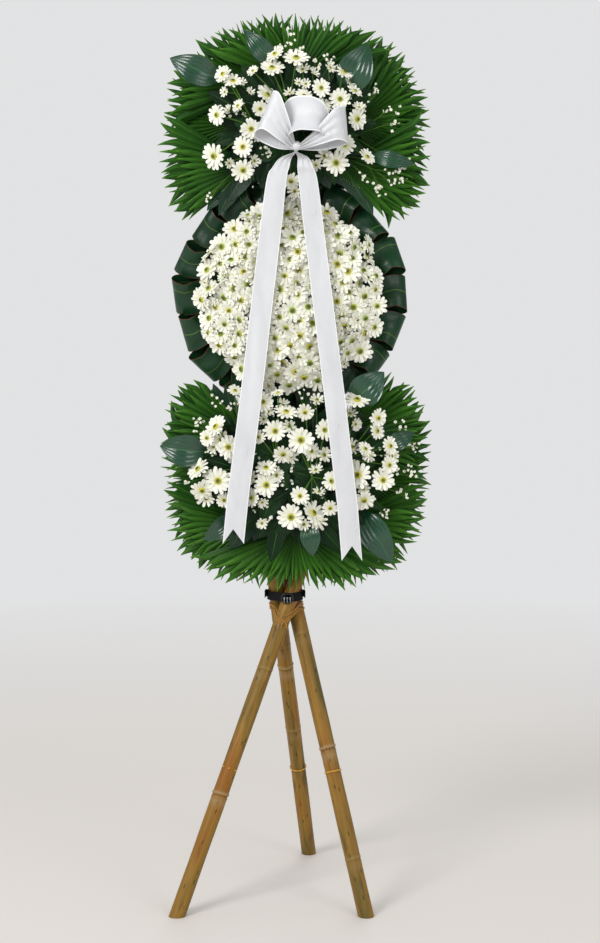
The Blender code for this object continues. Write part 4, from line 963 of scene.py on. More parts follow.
def add_leg_bands():
    """Two turns of string side by side round a leg."""
    for leg, height in LEG_BAND_HEIGHTS.items():
        axis, side, up = leg_axis(leg)
        angles = np.linspace(0, 2 * math.pi, 48, endpoint=False)
        ring = round_about(angles, side, up)
        band = Shape()
        for number in range(2):
            shift = (number - 0.5) * STRING_PITCH + 0.0011 * np.sin(angles + number * 0.6)
            path = leg_point(leg, height) + ring * (CULM_RADIUS + 0.0012) + shift[:, None] * axis
            band.add(tube(path[None], STRING_RADIUS, 8, ring=True, hint=tuple(axis)))
        place = leg.split("_")[-1]
        band.make("string_band_" + place, [STRING], ["leg_band_" + place])


def add_string_ends():
    """Three short ends of string that stay on the front of the left leg, each a bar that lies on it."""
    leg = "bamboo_leg_left"
    _, side, up = leg_axis(leg)
    towards_front = math.atan2(-up[1], -side[1])
    ends = Shape()
    for place in STRING_END_TURNS:
        angles = towards_front + math.radians(place) + np.linspace(-0.10, 0.10, 6)
        path = leg_point(leg, STRING_END_HEIGHT) + round_about(angles, side, up) * (CULM_RADIUS + 0.0006)
        ends.add(tube(path[None], STRING_END_RADIUS, 8))
    ends.make("string_ends_left", [STRING])


def add_strap():
    """Webbing pulled round the legs, and its two loose ends."""
    reach = STRAP_WIDTH / 2 + 0.004
    flat = girdle(STRAP_HEIGHT - reach, STRAP_HEIGHT + reach, STRAP_THICKNESS / 2 + 0.0002, 72)
    flat = even_ring(flat, 180)
    dip = 0.004 * (flat[:, 1] - flat[:, 1].max()) / np.ptp(flat[:, 1])
    rows = np.linspace(-0.5, 0.5, 7) * STRAP_WIDTH
    loop = np.vstack((flat, flat[:1]))
    heights = STRAP_HEIGHT + np.append(dip, dip[0])
    grid = np.stack([np.column_stack((loop, heights + row)) for row in rows], axis=1)
    strap = Shape()
    points, patterns, _ = sheet(grid[None, ::-1], STRAP_THICKNESS)
    metres = pair_up(rows[None], run_along(loop)[:, None]).reshape(-1, 2)
    strap.add((points, patterns, np.tile(metres, (2, 1))))
    for side in (-1.0, 1.0):
        edge = np.append(flat[np.argmax(flat[:, 0] * side)], STRAP_HEIGHT)
        steps = ((0.0, -0.001, 0.0), (side * 0.003, -0.006, 0.002), (side * 0.005, -0.012, 0.0))
        route = smooth_path([edge + step for step in steps], 12)
        end = np.stack([route + (0.0, 0.0, row * 0.8) for row in rows], axis=1)
        strap.add(sheet(end[None], STRAP_THICKNESS))
    strap.make("webbing_strap", [WEBBING], ["mast_strap"])


def add_buckle():
    """The buckle's frame, its bar and its three teeth, in the place of the plain one."""
    low, high = np.array(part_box("strap_buckle"))
    middle = (low + high) / 2 - SHIFT
    width, _, height = high - low
    corners = polygon_ring(middle + (0.0, -0.0005, 0.0), width / 2 - 0.0022, height / 2 - 0.0022, 0.004, 64)
    buckle = Shape()
    buckle.add(tube(corners[None], 0.0022, 10, ring=True, hint=(0.0, 1.0, 0.0)))
    bar = np.stack([middle + (x, 0.0, 0.0) for x in np.linspace(-width / 2 + 0.002, width / 2 - 0.002, 12)])
    buckle.add(tube(bar[None], 0.0026, 12))
    for x in (-0.006, 0.0, 0.006):
        steps = ((x, -0.0015, 0.002), (x, -0.0035, -0.004), (x, -0.0028, -0.008))
        tooth = smooth_path([middle + step for step in steps], 10)
        buckle.add(tube(tooth[None], 0.0009, 8), slot=1)
    buckle.make("cam_buckle", [BUCKLE, GLINT], ["strap_buckle"])


def polygon_ring(middle, half_width, half_height, corner, count):
    """A rounded rectangle in the plane facing the front: a superellipse of fourth power."""
    angles = np.linspace(0, 2 * math.pi, count, endpoint=False)
    power = 2.0 / (2.0 + half_width / corner * 0.4)
    x = np.sign(np.cos(angles)) * np.abs(np.cos(angles)) ** power * half_width
    z = np.sign(np.sin(angles)) * np.abs(np.sin(angles)) ** power * half_height
    return middle + np.column_stack((x, np.zeros(count), z))


# Leaves

def block_exit(centre, size, angle):
    """Where a ray from a block's middle leaves it, and the ray's direction."""
    direction = np.array([math.cos(angle), math.sin(angle)])
    reach = min(size[axis] / 2 / max(abs(direction[axis]), 1e-6) for axis in range(2))
    return np.array(centre) + direction * reach, direction


def disc_middle(depth):
    """The middle of the disc, at a depth."""
    return np.array([DISC_CENTRE[0], depth, DISC_CENTRE[1]])


def outline_reach(hub, angle, centre, reach, layer):
    """How far a blade goes before it meets the panel's rounded-square outline, the ring of folded
    leaves or, behind the front layer, the tops of the legs."""
    distances = np.linspace(0.02, 0.34, 321)
    across = hub[0] + distances * math.cos(angle)
    up = hub[1] + distances * math.sin(angle)
    share_across = np.abs((across - centre[0]) / reach[0])
    share_up = np.abs((up - centre[1]) / reach[1])
    to_ring = (up - centre[1]) * (DISC_CENTRE[1] - centre[1]) > 0
    outwards = SQUARENESS_UPWARDS if centre[1] > DISC_CENTRE[1] else SQUARENESS_DOWNWARDS
    squareness = np.where(to_ring, SQUARENESS_TO_RING, outwards)
    inside = share_across ** squareness + share_up ** squareness < 1.0
    inside &= np.hypot(across - DISC_CENTRE[0], up - DISC_CENTRE[1]) > RING_KEEP_OUT
    if layer > 0:
        left, right, top = LEG_TOPS_KEEP_OUT
        inside &= (across < left) | (across > right) | (up > top)
    stop = np.argmin(inside)
    return distances[max(stop - 1, 0)]


def palm_blades(hub, angle, spread, count, centre, reach, layer_number, depth, shorter, pleat):
    """The blades of one palm leaf, each a strip folded down its middle.

    Its half width is its share of the fan's angle times the distance from the hub, up to where it
    parts from its neighbours. From there it narrows to its tip, by a power of the share that is left.
    """
    edges = np.linspace(-spread / 2, spread / 2, count + 1) + angle
    middles = (edges[1:] + edges[:-1]) / 2
    lengths = np.array([outline_reach(hub, middle, centre, reach, layer_number) for middle in middles])
    lengths = np.maximum(lengths * shorter * rng.uniform(0.91, 1.01, count), 0.03)
    free = np.minimum(rng.uniform(0.024, 0.050, count), lengths * 0.6)
    parting = (1 - free / lengths)[:, None]
    share = np.hstack((parting * np.array([0.05, 0.35, 0.70, 1.0]),
                       parting + (1 - parting) * np.array([0.22, 0.45, 0.68, 0.87, 1.0])))
    distance = share * lengths[:, None]
    beyond = np.clip((share - parting) / (1 - parting), 0, 1)
    half_angle = spread / count / 2 * 1.03
    half_width = half_angle * np.minimum(distance, parting * lengths[:, None]) * (1 - beyond) ** 0.86
    half_width = np.maximum(half_width, 0.0003)
    turned = middles[:, None] + rng.normal(0, 0.035, (count, 1)) * beyond ** 1.4
    across = np.array([-1.0, -0.5, 0.0, 0.5, 1.0])
    fold = pleat * (1 - np.abs(across)) * 2 - pleat
    out = ways_out(turned)
    sideways = np.stack((-np.sin(turned), np.zeros_like(turned), np.cos(turned)), axis=-1)
    lift = rng.normal(0, 0.0050, (count, 1)) * beyond ** 1.3
    back = FAN_BEND * (distance / 0.2) ** 2 + lift
    grid = (np.array([hub[0], depth, hub[1]]) + distance[..., None, None] * out[:, :, None]
            + (half_width[..., None] * across)[..., None] * sideways[:, :, None])
    narrow = np.minimum(half_width / 0.007, 1.0)
    grid[..., 1] += back[..., None] - fold[None, None] * narrow[..., None]
    return grid


def add_fan(panel, number, centre, size, degrees, layer_number):
    """Two palm leaves from one hub, one a little behind and turned, and their stalk."""
    angle = math.radians(degrees)
    layer = FAN_LAYERS[layer_number]
    edge, direction = block_exit(centre, size, angle)
    hub = edge + direction * HUB_STAND_OFF
    fan = Shape()
    front_leaf = (0.0, 146.0, 23, 0.0040, 1.0, 0.0030)
    back_leaf = (rng.uniform(-10, 10), 128.0, 21, -0.0050, 0.86, 0.0032)
    shade = rng.uniform(-0.10, 0.10)
    # Every fan's tone is lifted, more on the lower panel's fans that point down and less on the upper panel's
    # fans that point up.
    tone_lift = 0.16
    if panel == "lower" and math.sin(angle) < -0.5:
        tone_lift = 0.42
    if panel == "upper" and math.sin(angle) > 0.5:
        tone_lift = 0.05
    for turn, spread, count, behind, shorter, pleat in (front_leaf, back_leaf):
        grid = palm_blades(hub, angle + math.radians(turn), math.radians(spread), count, centre,
                           PANEL_REACH[panel], layer_number, layer + behind, shorter, pleat)
        # The leaf set further back (behind over 0) gets 0.22 less tone: painted shade.
        tone = np.clip(rng.normal(0.36 + shade + tone_lift - 0.22 * (behind > 0), 0.12, count), 0, 1)
        fan.add(sheet(grid, LEAF_THICKNESS), tone)
    stalk = np.array([direction[0], 0.0, direction[1]])
    root = np.array([edge[0], layer, edge[1]]) - stalk * STALK_IN_FOAM
    path = root + np.linspace(0, STALK_IN_FOAM + HUB_STAND_OFF + 0.014, 8)[:, None] * stalk
    fan.add(tube(path[None], np.linspace(0.0020, 0.0026, 8), 10), 0.6)
    place = "_%s_%d" % (panel, number)
    fan.make("palm_leaf" + place, [PALM], ["palm_fan" + place])


def add_folded_leaf(number):
    """A broad leaf folded over: its path out and back, twisted about its middle line so that one open
    side faces the front, turned a little in its plane, and bowed across."""
    angle = number * 2.0 * math.pi / FOLDED_LEAVES
    outward = np.array([math.cos(angle), 0.0, math.sin(angle)])
    tangent = np.array([-math.sin(angle), 0.0, math.cos(angle)])
    centre = disc_middle(0.0)
    swell = 1.0 + 0.05 * math.sin(number * 2.4)
    path = smooth_path(FOLD_PATH, 34)
    out = path[:, 0] * swell
    radius = DISC_FOAM_RADIUS + 0.0003 + out
    half_width = (0.97 + 0.05 * math.sin(number * 2.2)) * radius * math.tan(math.pi / FOLDED_LEAVES)
    across = np.linspace(-1, 1, 13)
    share = np.clip(out / 0.04, 0, 1)
    twist = math.radians(33.0 + 7.0 * math.sin(number * 1.7)) * share
    turn = math.radians(6.0) * math.sin(number * 2.9 + 0.5) * share
    middle_depth = -0.034
    off_middle = (path[:, 1] - middle_depth) * 0.84
    aside = half_width[:, None] * across * np.cos(twist)[:, None] - (off_middle * np.sin(twist))[:, None]
    grid = (centre + (radius[:, None, None] - (aside * np.sin(turn)[:, None])[..., None]) * outward
            + (aside * np.cos(turn)[:, None])[..., None] * tangent)
    bow = 0.0015 * np.sin(across * 5 + number) * np.clip(out / 0.03, 0, 1)[:, None]
    grid[..., 1] += (off_middle * np.cos(twist) + middle_depth)[:, None]
    grid[..., 1] += half_width[:, None] * across * np.sin(twist)[:, None] * 0.62 + bow
    points, patterns, uv = sheet(grid[None], FOLDED_THICKNESS)
    leaf = Shape()
    leaf.add((points, patterns, uv + (rng.uniform(-0.28, 0.28), 0.0)), rng.uniform(0.15, 0.75))
    for side in (0, -1):
        leaf.add(tube(grid[None, :, side], 0.0006, 6), slot=1)
    place = "_%02d" % (number + 1)
    leaf.make("looped_leaf" + place, [FOLDED, LEAF_EDGE], ["folded_leaf" + place])


def add_ring_backing():
    """Shorter flat leaves between the loops, so that no light comes through the ring."""
    outward = ways_out((np.arange(FOLDED_LEAVES) + 0.5) * 2.0 * math.pi / FOLDED_LEAVES)
    centre = disc_middle(-0.009)
    starts = centre + outward * (DISC_FOAM_RADIUS - 0.001)
    tips = centre + outward * (DISC_FOAM_RADIUS + rng.uniform(0.052, 0.058, FOLDED_LEAVES))[:, None]
    backing = Shape()
    grid = leaf_grid(starts, tips, 0.015, 0.0, 0.08, rows=12, columns=7)
    backing.add(sheet(grid, FOLDED_THICKNESS), rng.uniform(0.0, 0.3, FOLDED_LEAVES))
    backing.make("ring_backing_leaves", [FOLDED])


def leaf_grid(starts, tips, half_widths, bow, fold, lobes=0.0, rows=15, columns=7):
    """N leaves: the half width along each is that of an egg shape with its wide end low, waved by its
    lobes; the blade bows towards the front and folds at its midrib."""
    starts = np.atleast_2d(starts)
    tips = np.atleast_2d(tips)
    share = np.linspace(0, 1, rows)[None, :, None]
    half_widths = np.reshape(half_widths, (-1, 1, 1))
    across = np.linspace(-1, 1, columns)
    ahead = unit(tips - starts)
    side = unit(np.cross(ahead, (0.0, -1.0, 0.0)))
    up = np.cross(side, ahead)
    width = np.sin(math.pi * share ** 0.78) ** 0.8 * (1 + lobes * np.sin(share * 2 * math.pi * 3.5))
    width = np.maximum(width * half_widths, 0.0006)
    lift = np.sin(math.pi * share) * np.reshape(bow, (-1, 1, 1)) + np.abs(across) * width * fold
    midrib = starts[:, None, None, :] + share[..., None] * (tips - starts)[:, None, None, :]
    return midrib + (width * across)[..., None] * side[:, None, None] + lift[..., None] * up[:, None, None]


def add_glossy_leaf(name, root_place, start_place, tip_place, half_width, replaced):
    """A broad leaf with raised side veins, on a stalk that stands in the foam's side where it is a
    leaf of the plain part, and else in its front."""
    root = photo_place(*root_place, GLOSSY_DEPTH)
    if replaced:
        upper = name.endswith("upper")
        side = -1.0 if upper else 1.0
        root[0] = side * (UPPER_FOAM if upper else LOWER_FOAM)[0] / 2
        root = root - (side * 0.012, 0.0, 0.0)
        depth = GLOSSY_DEPTH
    else:
        root[1] = FOAM_FRONT + 0.012
        depth = FOAM_FRONT - 0.006
    start = photo_place(*start_place, depth - 0.002)
    tip = photo_place(*tip_place, depth - 0.006)
    rows, columns = 26, 25
    grid = leaf_grid(start, tip, half_width, 0.017, 0.20, rows=rows, columns=columns)
    ripple = 0.0008 * np.cos(np.linspace(-1, 1, columns) * 7 * math.pi)
    grid[..., 1] += ripple * np.sin(math.pi * np.linspace(0, 1, rows))[:, None]
    leaf = Shape()
    leaf.add(sheet(grid, BROAD_THICKNESS), rng.uniform(0.3, 0.7))
    bend = root + (start - root) * 0.4 + (0.0, -0.010, 0.0)
    stalk = smooth_path([root, bend, start + (tip - start) * 0.06], 12)
    leaf.add(tube(stalk[None], 0.0017, 8), 0.6, 1)
    leaf.make("glossy_" + name.replace("glossy_leaf_", ""), [BROAD, STEM], replaced)


# Flowers

def daisy_petals(centres, facings, radii, count, cup, start, width):
    """Strap petals round N blooms: narrow at the eye, widest at two thirds, round at the tip.

    A point is the bloom's middle, plus its distance out along the petal, plus its share of the
    half width sideways, plus a lift along the bloom's facing that grows with the distance squared.
    """
    copies = len(centres)
    side, up = facing_frame(facings)
    facing = unit(facings)
    turn = rng.uniform(0, 2 * math.pi, (copies, 1))
    angles = turn + (np.arange(count) + rng.uniform(-0.16, 0.16, (copies, count))) * 2 * math.pi / count
    out = np.cos(angles)[..., None] * side[:, None] + np.sin(angles)[..., None] * up[:, None]
    sideways = -np.sin(angles)[..., None] * side[:, None] + np.cos(angles)[..., None] * up[:, None]
    share = np.array([0.0, 0.46, 0.84, 1.0])
    profile = np.array([0.50, 0.94, 1.0, 0.50])
    across = np.array([-1.0, 0.0, 1.0])
    length = radii[:, None] * rng.uniform(0.86, 1.08, (copies, count))
    inner = radii[:, None] * start
    distance = inner[..., None] + (length - inner)[..., None] * share
    bend = radii[:, None] * (cup + rng.normal(0, 0.06, (copies, count)))
    lift = bend[..., None] * share ** 2 + radii[:, None, None] * 0.05 * share
    roll = rng.normal(0, 0.16, (copies, count))
    half = radii[:, None, None] * width * profile
    grooved = np.abs(across) * 0.32
    grid = (centres[:, None, None, None] + distance[..., None, None] * out[:, :, None, None]
            + (half[..., None] * across)[..., None] * sideways[:, :, None, None]
            + (lift[..., None] + half[..., None] * (grooved + across * roll[..., None, None]))[..., None]
            * facing[:, None, None, None])
    return grid.reshape(copies * count, len(share), len(across), 3)


def daisy_eyes(centres, facings, radii, size):
    """Domed eyes: rings that narrow towards the top by a circle's arc. The UV runs from rim to top."""
    facing = unit(facings)
    share = np.array([-0.10, 0.0, 0.35, 0.62, 0.84, 0.94])
    profile = np.sqrt(np.clip(1 - np.clip(share, 0, 1) ** 2, 0, 1))
    profile[0] = 0.7
    paths = centres[:, None] + facing[:, None] * (share * 0.55)[None, :, None] * (radii * size)[:, None, None]
    sides = 10
    points, patterns, uv = tube(paths, profile[None] * (radii * size)[:, None], sides)
    along = np.repeat(np.linspace(0, EYE_RUN, len(share)), sides)
    return points, patterns, pair_up(uv[..., 0], along[None])


def add_blooms(shape, centres, facings, radii, greens, layers):
    """Petals in layers, an eye and a green cup behind for each bloom: slots 0, 1 and 2."""
    facing = unit(facings)
    for count, cup, start, width, scale in layers:
        grid = daisy_petals(centres, facings, radii * scale, count, cup, start, width)
        tone = np.repeat(rng.uniform(0, 0.8, len(centres)), count)
        shape.add(sheet(grid, PETAL_THICKNESS), tone)
    raised = centres + facing * (radii * 0.05)[:, None]
    shape.add(daisy_eyes(raised, facings, radii, 0.27), greens, 1)
    share = np.array([-0.34, -0.20, -0.05, 0.02])
    paths = centres[:, None] + facing[:, None] * share[None, :, None] * radii[:, None, None]
    profile = np.array([0.07, 0.20, 0.26, 0.16])
    shape.add(tube(paths, profile[None] * radii[:, None], 8), 0.4, 2)


def backs_of(centres, facings, radii):
    """Where a stem meets each bloom, a little behind its middle."""
    return centres - unit(facings) * (radii * 0.3)[:, None]


# Layers of petals: how many, cup, start and half width as shares of the radius, size
SPRAY_LAYERS = ((14, 0.02, 0.16, 0.140, 1.03), (10, 0.20, 0.16, 0.140, 0.88))
DOME_LAYERS = ((13, 0.02, 0.16, 0.160, 1.04), (9, 0.24, 0.16, 0.155, 0.86))
SMALL_LAYERS = ((9, 0.25, 0.12, 0.165, 1.0), (7, 0.62, 0.10, 0.155, 0.82))


def on_dome(angle, radial, depth, edge):
    """Points over the disc at angles and distances from its middle, the ways out to them, and the
    dome's height there, which is a quarter of an ellipse that ends at its edge."""
    outward = ways_out(angle)
    height = DOME_RISE * np.sqrt(np.clip(1 - (radial / edge) ** 2, 0, 1))
    return disc_middle(depth) + outward * radial[:, None], outward, height


def add_dome_daisies():
    """Daisies on a dome in the even spiral of a seed head, each a little off its place and tilted.

    More daisies stand on the dome's top, where the photograph shows them. Gives back the places of
    all of them across and up.
    """
    number = np.arange(DOME_DAISIES)
    reach = DOME_RADIUS - 0.008
    angle = number * math.pi * (3.0 - math.sqrt(5.0))
    radial = ((number + 0.5) / DOME_DAISIES) ** 0.48 * reach + rng.normal(0, 0.0022, DOME_DAISIES)
    angle = angle + rng.normal(0, 0.0026, DOME_DAISIES) / np.maximum(radial, 0.02)
    columns, rows = np.array(DOME_TOP_DAISIES, dtype=float).T
    added = photo_place(columns, rows, DISC_FOAM_FRONT - 0.014)[:, [0, 2]] - DISC_CENTRE
    radial = np.append(radial, np.hypot(added[:, 0], added[:, 1]))
    angle = np.append(angle, np.arctan2(added[:, 1], added[:, 0]))
    count = len(radial)
    centres, outward, height = on_dome(angle, radial, DISC_FOAM_FRONT - 0.004, DOME_EDGE)
    centres[:, 1] -= height + rng.uniform(-0.003, 0.004, count)
    lean = np.radians(44.0) * (radial / reach) ** 2.2
    facings = outward * np.sin(lean)[:, None] - np.outer(np.cos(lean), (0.0, 1.0, 0.0))
    facings = unit(facings + rng.normal(0, 0.27, (count, 3)))
    radii = DOME_DAISY_RADIUS * rng.uniform(0.84, 1.14, count)
    is_green = rng.uniform(0, 1, count) < 0.68
    greens = np.where(is_green, rng.uniform(0.6, 1.0, count), rng.uniform(0.0, 0.35, count))
    dome = Shape()
    add_blooms(dome, centres, facings, radii, greens, DOME_LAYERS)
    roots = centres * (1.0, 0.0, 1.0) + np.array([0.0, DISC_FOAM_FRONT - 0.002, 0.0])
    roots[:, [0, 2]] = (roots[:, [0, 2]] - DISC_CENTRE) * 0.9 + DISC_CENTRE
    bases = centres - facings * (radii * 0.3)[:, None]
    dome.add(tube(straight_paths(roots, bases, 4), 0.0014, 6), 0.3, 2)
    dome.make("dome_daisies", DAISY_LOOKS, ["daisy_dome"])
    return centres[:, [0, 2]]


def add_dome_buds(daisy_places):
    """Small blooms between the daisies, left out where they would cover an eye."""
    share = np.sqrt((np.arange(DOME_BUDS) + 0.5) / DOME_BUDS)
    angle = np.arange(DOME_BUDS) * SPIRAL_TURN + 1.1
    radial = share * (DOME_RADIUS - 0.016)
    centres, outward, height = on_dome(angle, radial, DISC_FOAM_FRONT - 0.007, DOME_EDGE)
    centres[:, 1] -= height
    facings = outward * (0.9 * share ** 2)[:, None] - (0.0, 1.0, 0.0)
    facings = unit(facings + rng.normal(0, 0.3, (DOME_BUDS, 3)))
    radii = rng.uniform(0.009, 0.014, DOME_BUDS)
    greens = rng.uniform(0.2, 1.0, DOME_BUDS)
    off_eyes = np.linalg.norm(centres[:, None, [0, 2]] - daisy_places[None], axis=2).min(axis=1)
    clear = off_eyes > BUD_TO_EYE
    centres = centres[clear]
    buds = Shape()
    add_blooms(buds, centres, facings[clear], radii[clear], greens[clear], SMALL_LAYERS)
    buds.add(tube(straight_paths(centres + (0.0, 0.030, 0.0), centres, 4, 0.9), 0.0010, 6), 0.3, 2)
    buds.make("dome_buds", DAISY_LOOKS)


def add_dome_greens():
    """Small leaves under the daisies, each on a stalk from the foam's front."""
    share = np.sqrt(rng.uniform(0, 1, DOME_LEAVES))
    angle = rng.uniform(0, 2 * math.pi, DOME_LEAVES)
    starts, _, height = on_dome(angle, share * (DOME_RADIUS - 0.022), DISC_FOAM_FRONT + 0.004, DOME_RADIUS)
    starts[:, 1] -= height * 0.62
    ahead = ways_out(rng.uniform(0, 2 * math.pi, DOME_LEAVES)) - (0.0, 0.35, 0.0)
    tips = starts + unit(ahead) * rng.uniform(0.020, 0.032, DOME_LEAVES)[:, None]
    greens = Shape()
    grid = leaf_grid(starts, tips, 0.0075, 0.002, 0.2, rows=6, columns=3)
    greens.add(sheet(grid, LEAF_THICKNESS), rng.uniform(0.1, 0.8, DOME_LEAVES))
    depths = starts[:, 1]
    roots = np.full(DOME_LEAVES, DISC_FOAM_FRONT - 0.0005)
    stalk_depths = np.stack((roots, depths * 0.5 + DISC_FOAM_FRONT * 0.5, depths), axis=1)
    paths = starts[:, None] * (1, 0, 1) + stalk_depths[..., None] * (0.0, 1.0, 0.0)
    greens.add(tube(paths, 0.0009, 5), 0.4)
    greens.make("dome_greens", [FOLIAGE])


def read_facings(blooms, spread):
    """Where each bloom of a table looks, a little off its named way."""
    named = np.array([LOOKS_TOWARDS[bloom[3]] for bloom in blooms])
    return named + rng.normal(0, spread, (len(blooms), 3))


def nearest_in_foam(places, centre, size, share):
    """The point just inside the foam's front that is nearest each place, within a share of its size."""
    roots = places.copy()
    for axis, middle, width in ((0, centre[0], size[0]), (2, centre[1], size[1])):
        roots[:, axis] = np.clip(roots[:, axis], middle - width * share, middle + width * share)
    roots[:, 1] = FOAM_FRONT + 0.004
    return roots


def add_spray(name, root_place, blooms):
    """A stem that forks to its daisies, with cut-edged leaves low on it."""
    front = photo_place(*root_place, FOAM_FRONT)
    fork = front + (0.0, BRANCH_DEPTH - FOAM_FRONT, 0.0)
    columns, rows, sizes = np.array([bloom[:3] for bloom in blooms], dtype=float).T
    depths = SPRAY_DEPTH - rng.uniform(-0.004, 0.004, len(blooms))
    centres = np.array([photo_place(*place) for place in zip(columns, rows, depths)])
    facings = read_facings(blooms, 0.10)
    radii = sizes * PIXEL * 1.03
    greens = rng.uniform(0.0, 0.45, len(blooms))
    spray = Shape()
    add_blooms(spray, centres, facings, radii, greens, SPRAY_LAYERS)
    paths = [smooth_path([fork, fork + (base - fork) * 0.55 + (0.0, -0.003, 0.0), base], 10)
             for base in backs_of(centres, facings, radii)]
    spray.add(tube(paths, 0.0012, 6), slot=2)
    stem = np.linspace(front + (0.0, 0.020, 0.0), fork, 6)
    spray.add(tube(stem[None], 0.0023, 8), slot=2)
    leaves = 15
    turns = np.arange(leaves) * 2.4 + rng.uniform(0, 1)
    starts = front + ways_out(turns) * 0.002
    starts[:, 1] -= 0.004 + 0.001 * (np.arange(leaves) % 11)
    tips = starts + (ways_out(turns) - (0.0, 0.10, 0.0)) * rng.uniform(0.034, 0.064, leaves)[:, None]
    grid = leaf_grid(starts, tips, rng.uniform(0.010, 0.016, leaves), 0.003, 0.15, 0.22)
    spray.add(sheet(grid, LEAF_THICKNESS), rng.uniform(0.1, 0.9, leaves), 3)
    spray.make(name.replace("daisy_spray", "daisies"), [*DAISY_LOOKS, FOLIAGE], [name])


def add_small_blooms(panel, centre, size):
    """Smaller and half open daisies between the sprays, each with its stem from the foam's front."""
    blooms = SMALL_BLOOMS[panel]
    columns, rows, sizes = np.array([bloom[:3] for bloom in blooms], dtype=float).T
    centres = photo_place(columns, rows, SMALL_BLOOM_DEPTH)
    facings = read_facings(blooms, 0.16)
    radii = sizes * PIXEL * 1.05
    roots = nearest_in_foam(centres, centre, size, 0.42)
    small = Shape()
    add_blooms(small, centres, facings, radii, rng.uniform(0.0, 0.7, len(blooms)), SMALL_LAYERS)
    paths = [smooth_path([root, (root + base) / 2 + (0.0, -0.006, 0.0), base], 8)
             for root, base in zip(roots, backs_of(centres, facings, radii))]
    small.add(tube(paths, 0.0010, 6), slot=2)
    small.make("small_daisies_" + panel, DAISY_LOOKS)


def add_joint_leaves(panel, centre, size):
    """Dark leaves that close the joint between a panel and the ring."""
    degrees, shares, lengths, depths = np.array(JOINT_LEAVES[panel], dtype=float).T
    direction = ways_out(np.radians(degrees))
    starts = np.stack((centre[0] + shares * size[0] / 2, depths,
                       centre[1] + np.sign(direction[:, 2]) * (size[1] / 2 - 0.004)), axis=1)
    tips = starts + direction * lengths[:, None]
    joint = Shape()
    grid = leaf_grid(starts, tips, rng.uniform(0.019, 0.026, len(starts)), 0.004, 0.12, rows=16, columns=9)
    joint.add(sheet(grid, BROAD_THICKNESS), rng.uniform(0.0, 0.6, len(starts)))
    joint.make("joint_leaves_" + panel, [FOLDED])


def add_backing(panel, centre, size):
    """Broad dark leaves behind the palm leaves, all round the foam, shorter over the legs."""
    count = 18
    angles = np.arange(count) * 2 * math.pi / count + 0.1
    edges = np.array([block_exit(centre, size, angle)[0] for angle in angles])
    direction = ways_out(angles)
    depths = -0.0135 - 0.0035 * (np.arange(count) % 2)
    starts = np.stack((edges[:, 0], depths, edges[:, 1]), axis=1) - direction * 0.006
    lengths = rng.uniform(0.085, 0.100, count)
    if panel == "lower":
        lengths = np.where(direction[:, 2] < -0.85, 0.070, lengths)
    tips = starts + direction * lengths[:, None]
    backing = Shape()
    grid = leaf_grid(starts, tips, rng.uniform(0.024, 0.029, count), 0.0, 0.05, rows=12, columns=7)
    backing.add(sheet(grid, BROAD_THICKNESS), rng.uniform(0.0, 0.5, count))
    backing.make("backing_leaves_" + panel, [FOLIAGE])


def add_filling(panel, centre, size):
    """Dark leaves that cover the foam's front and lean out over the palm leaves."""
    count = FILLING_LEAVES[panel]
    turns = np.arange(count) * SPIRAL_TURN + rng.uniform(0, 1)
    share = np.sqrt((np.arange(count) + 0.5) / count)
    starts = np.stack((centre[0] + np.cos(turns) * share * size[0] / 2 * 0.98,
                       np.full(count, FOAM_FRONT - 0.0005),
                       centre[1] + np.sin(turns) * share * size[1] / 2 * 0.98), axis=1)
    starts[:, 1] -= rng.uniform(0.0, 0.006, count)
    lean = turns + rng.normal(0, 0.35, count)
    length = rng.uniform(0.055, 0.085, count) * (0.7 + 0.5 * share)
    out = ways_out(lean)
    out[:, 1] = -rng.uniform(0.02, 0.14, count)
    tips = starts + out * length[:, None]
    filling = Shape()
    grid = leaf_grid(starts, tips, rng.uniform(0.013, 0.021, count), 0.005, 0.14, 0.06)
    filling.add(sheet(grid, LEAF_THICKNESS), rng.uniform(0.0, 0.75, count))
    stalks = straight_paths(starts + (0.0, 0.012, 0.0), starts + (tips - starts) * 0.03, 4)
    filling.add(tube(stalks, 0.0011, 6), slot=1)
    filling.make("filling_leaves_" + panel, [FOLIAGE, STEM])


def breath_clusters(shape, middles, heads_each, spread, roots):
    """Little five-petalled heads scattered round each middle, on hair-thin stems from its root."""
    count = len(middles) * heads_each
    offsets = rng.normal(0, spread, (count, 3)) * (1.0, 0.35, 1.0)
    centres = np.repeat(middles, heads_each, axis=0) + offsets
    facings = unit(np.array([0.0, -1.0, 0.1]) + rng.normal(0, 0.45, (count, 3)))
    radii = rng.uniform(0.0021, 0.0034, count)
    grid = daisy_petals(centres, facings, radii, 5, 0.25, 0.05, 0.42)
    shape.add(sheet(grid[:, [0, 2, 3]], 0.0005), 0.0)
    knots = middles * 0.7 + roots * 0.3
    shape.add(tube(straight_paths(np.repeat(knots, heads_each, axis=0), centres, 3), 0.00035, 4), 0.7, 1)
    shape.add(tube(straight_paths(roots, knots, 4), 0.0008, 5), 0.7, 1)


def add_breath(name, root_place, heads):
    """Baby's breath on a twig that stands in the foam's side."""
    near = photo_place(*root_place, GLOSSY_DEPTH)
    near[0] = (UPPER_FOAM if name.endswith("upper") else LOWER_FOAM)[0] / 2
    fork = near + (0.014, -0.004, 0.0)
    columns, rows = np.array(heads, dtype=float).T
    middles = photo_place(columns, rows, BREATH_DEPTHS[name])
    twig = Shape()
    breath_clusters(twig, middles, 9, 0.0075, np.repeat(fork[None], len(heads), axis=0))
    path = np.linspace(near - (0.013, 0.0, 0.0), fork, 6)
    twig.add(tube(path[None], 0.0014, 8), slot=1)
    twig.make(name.replace("babys_breath", "breath_twig"), [PETAL, STEM], [name])


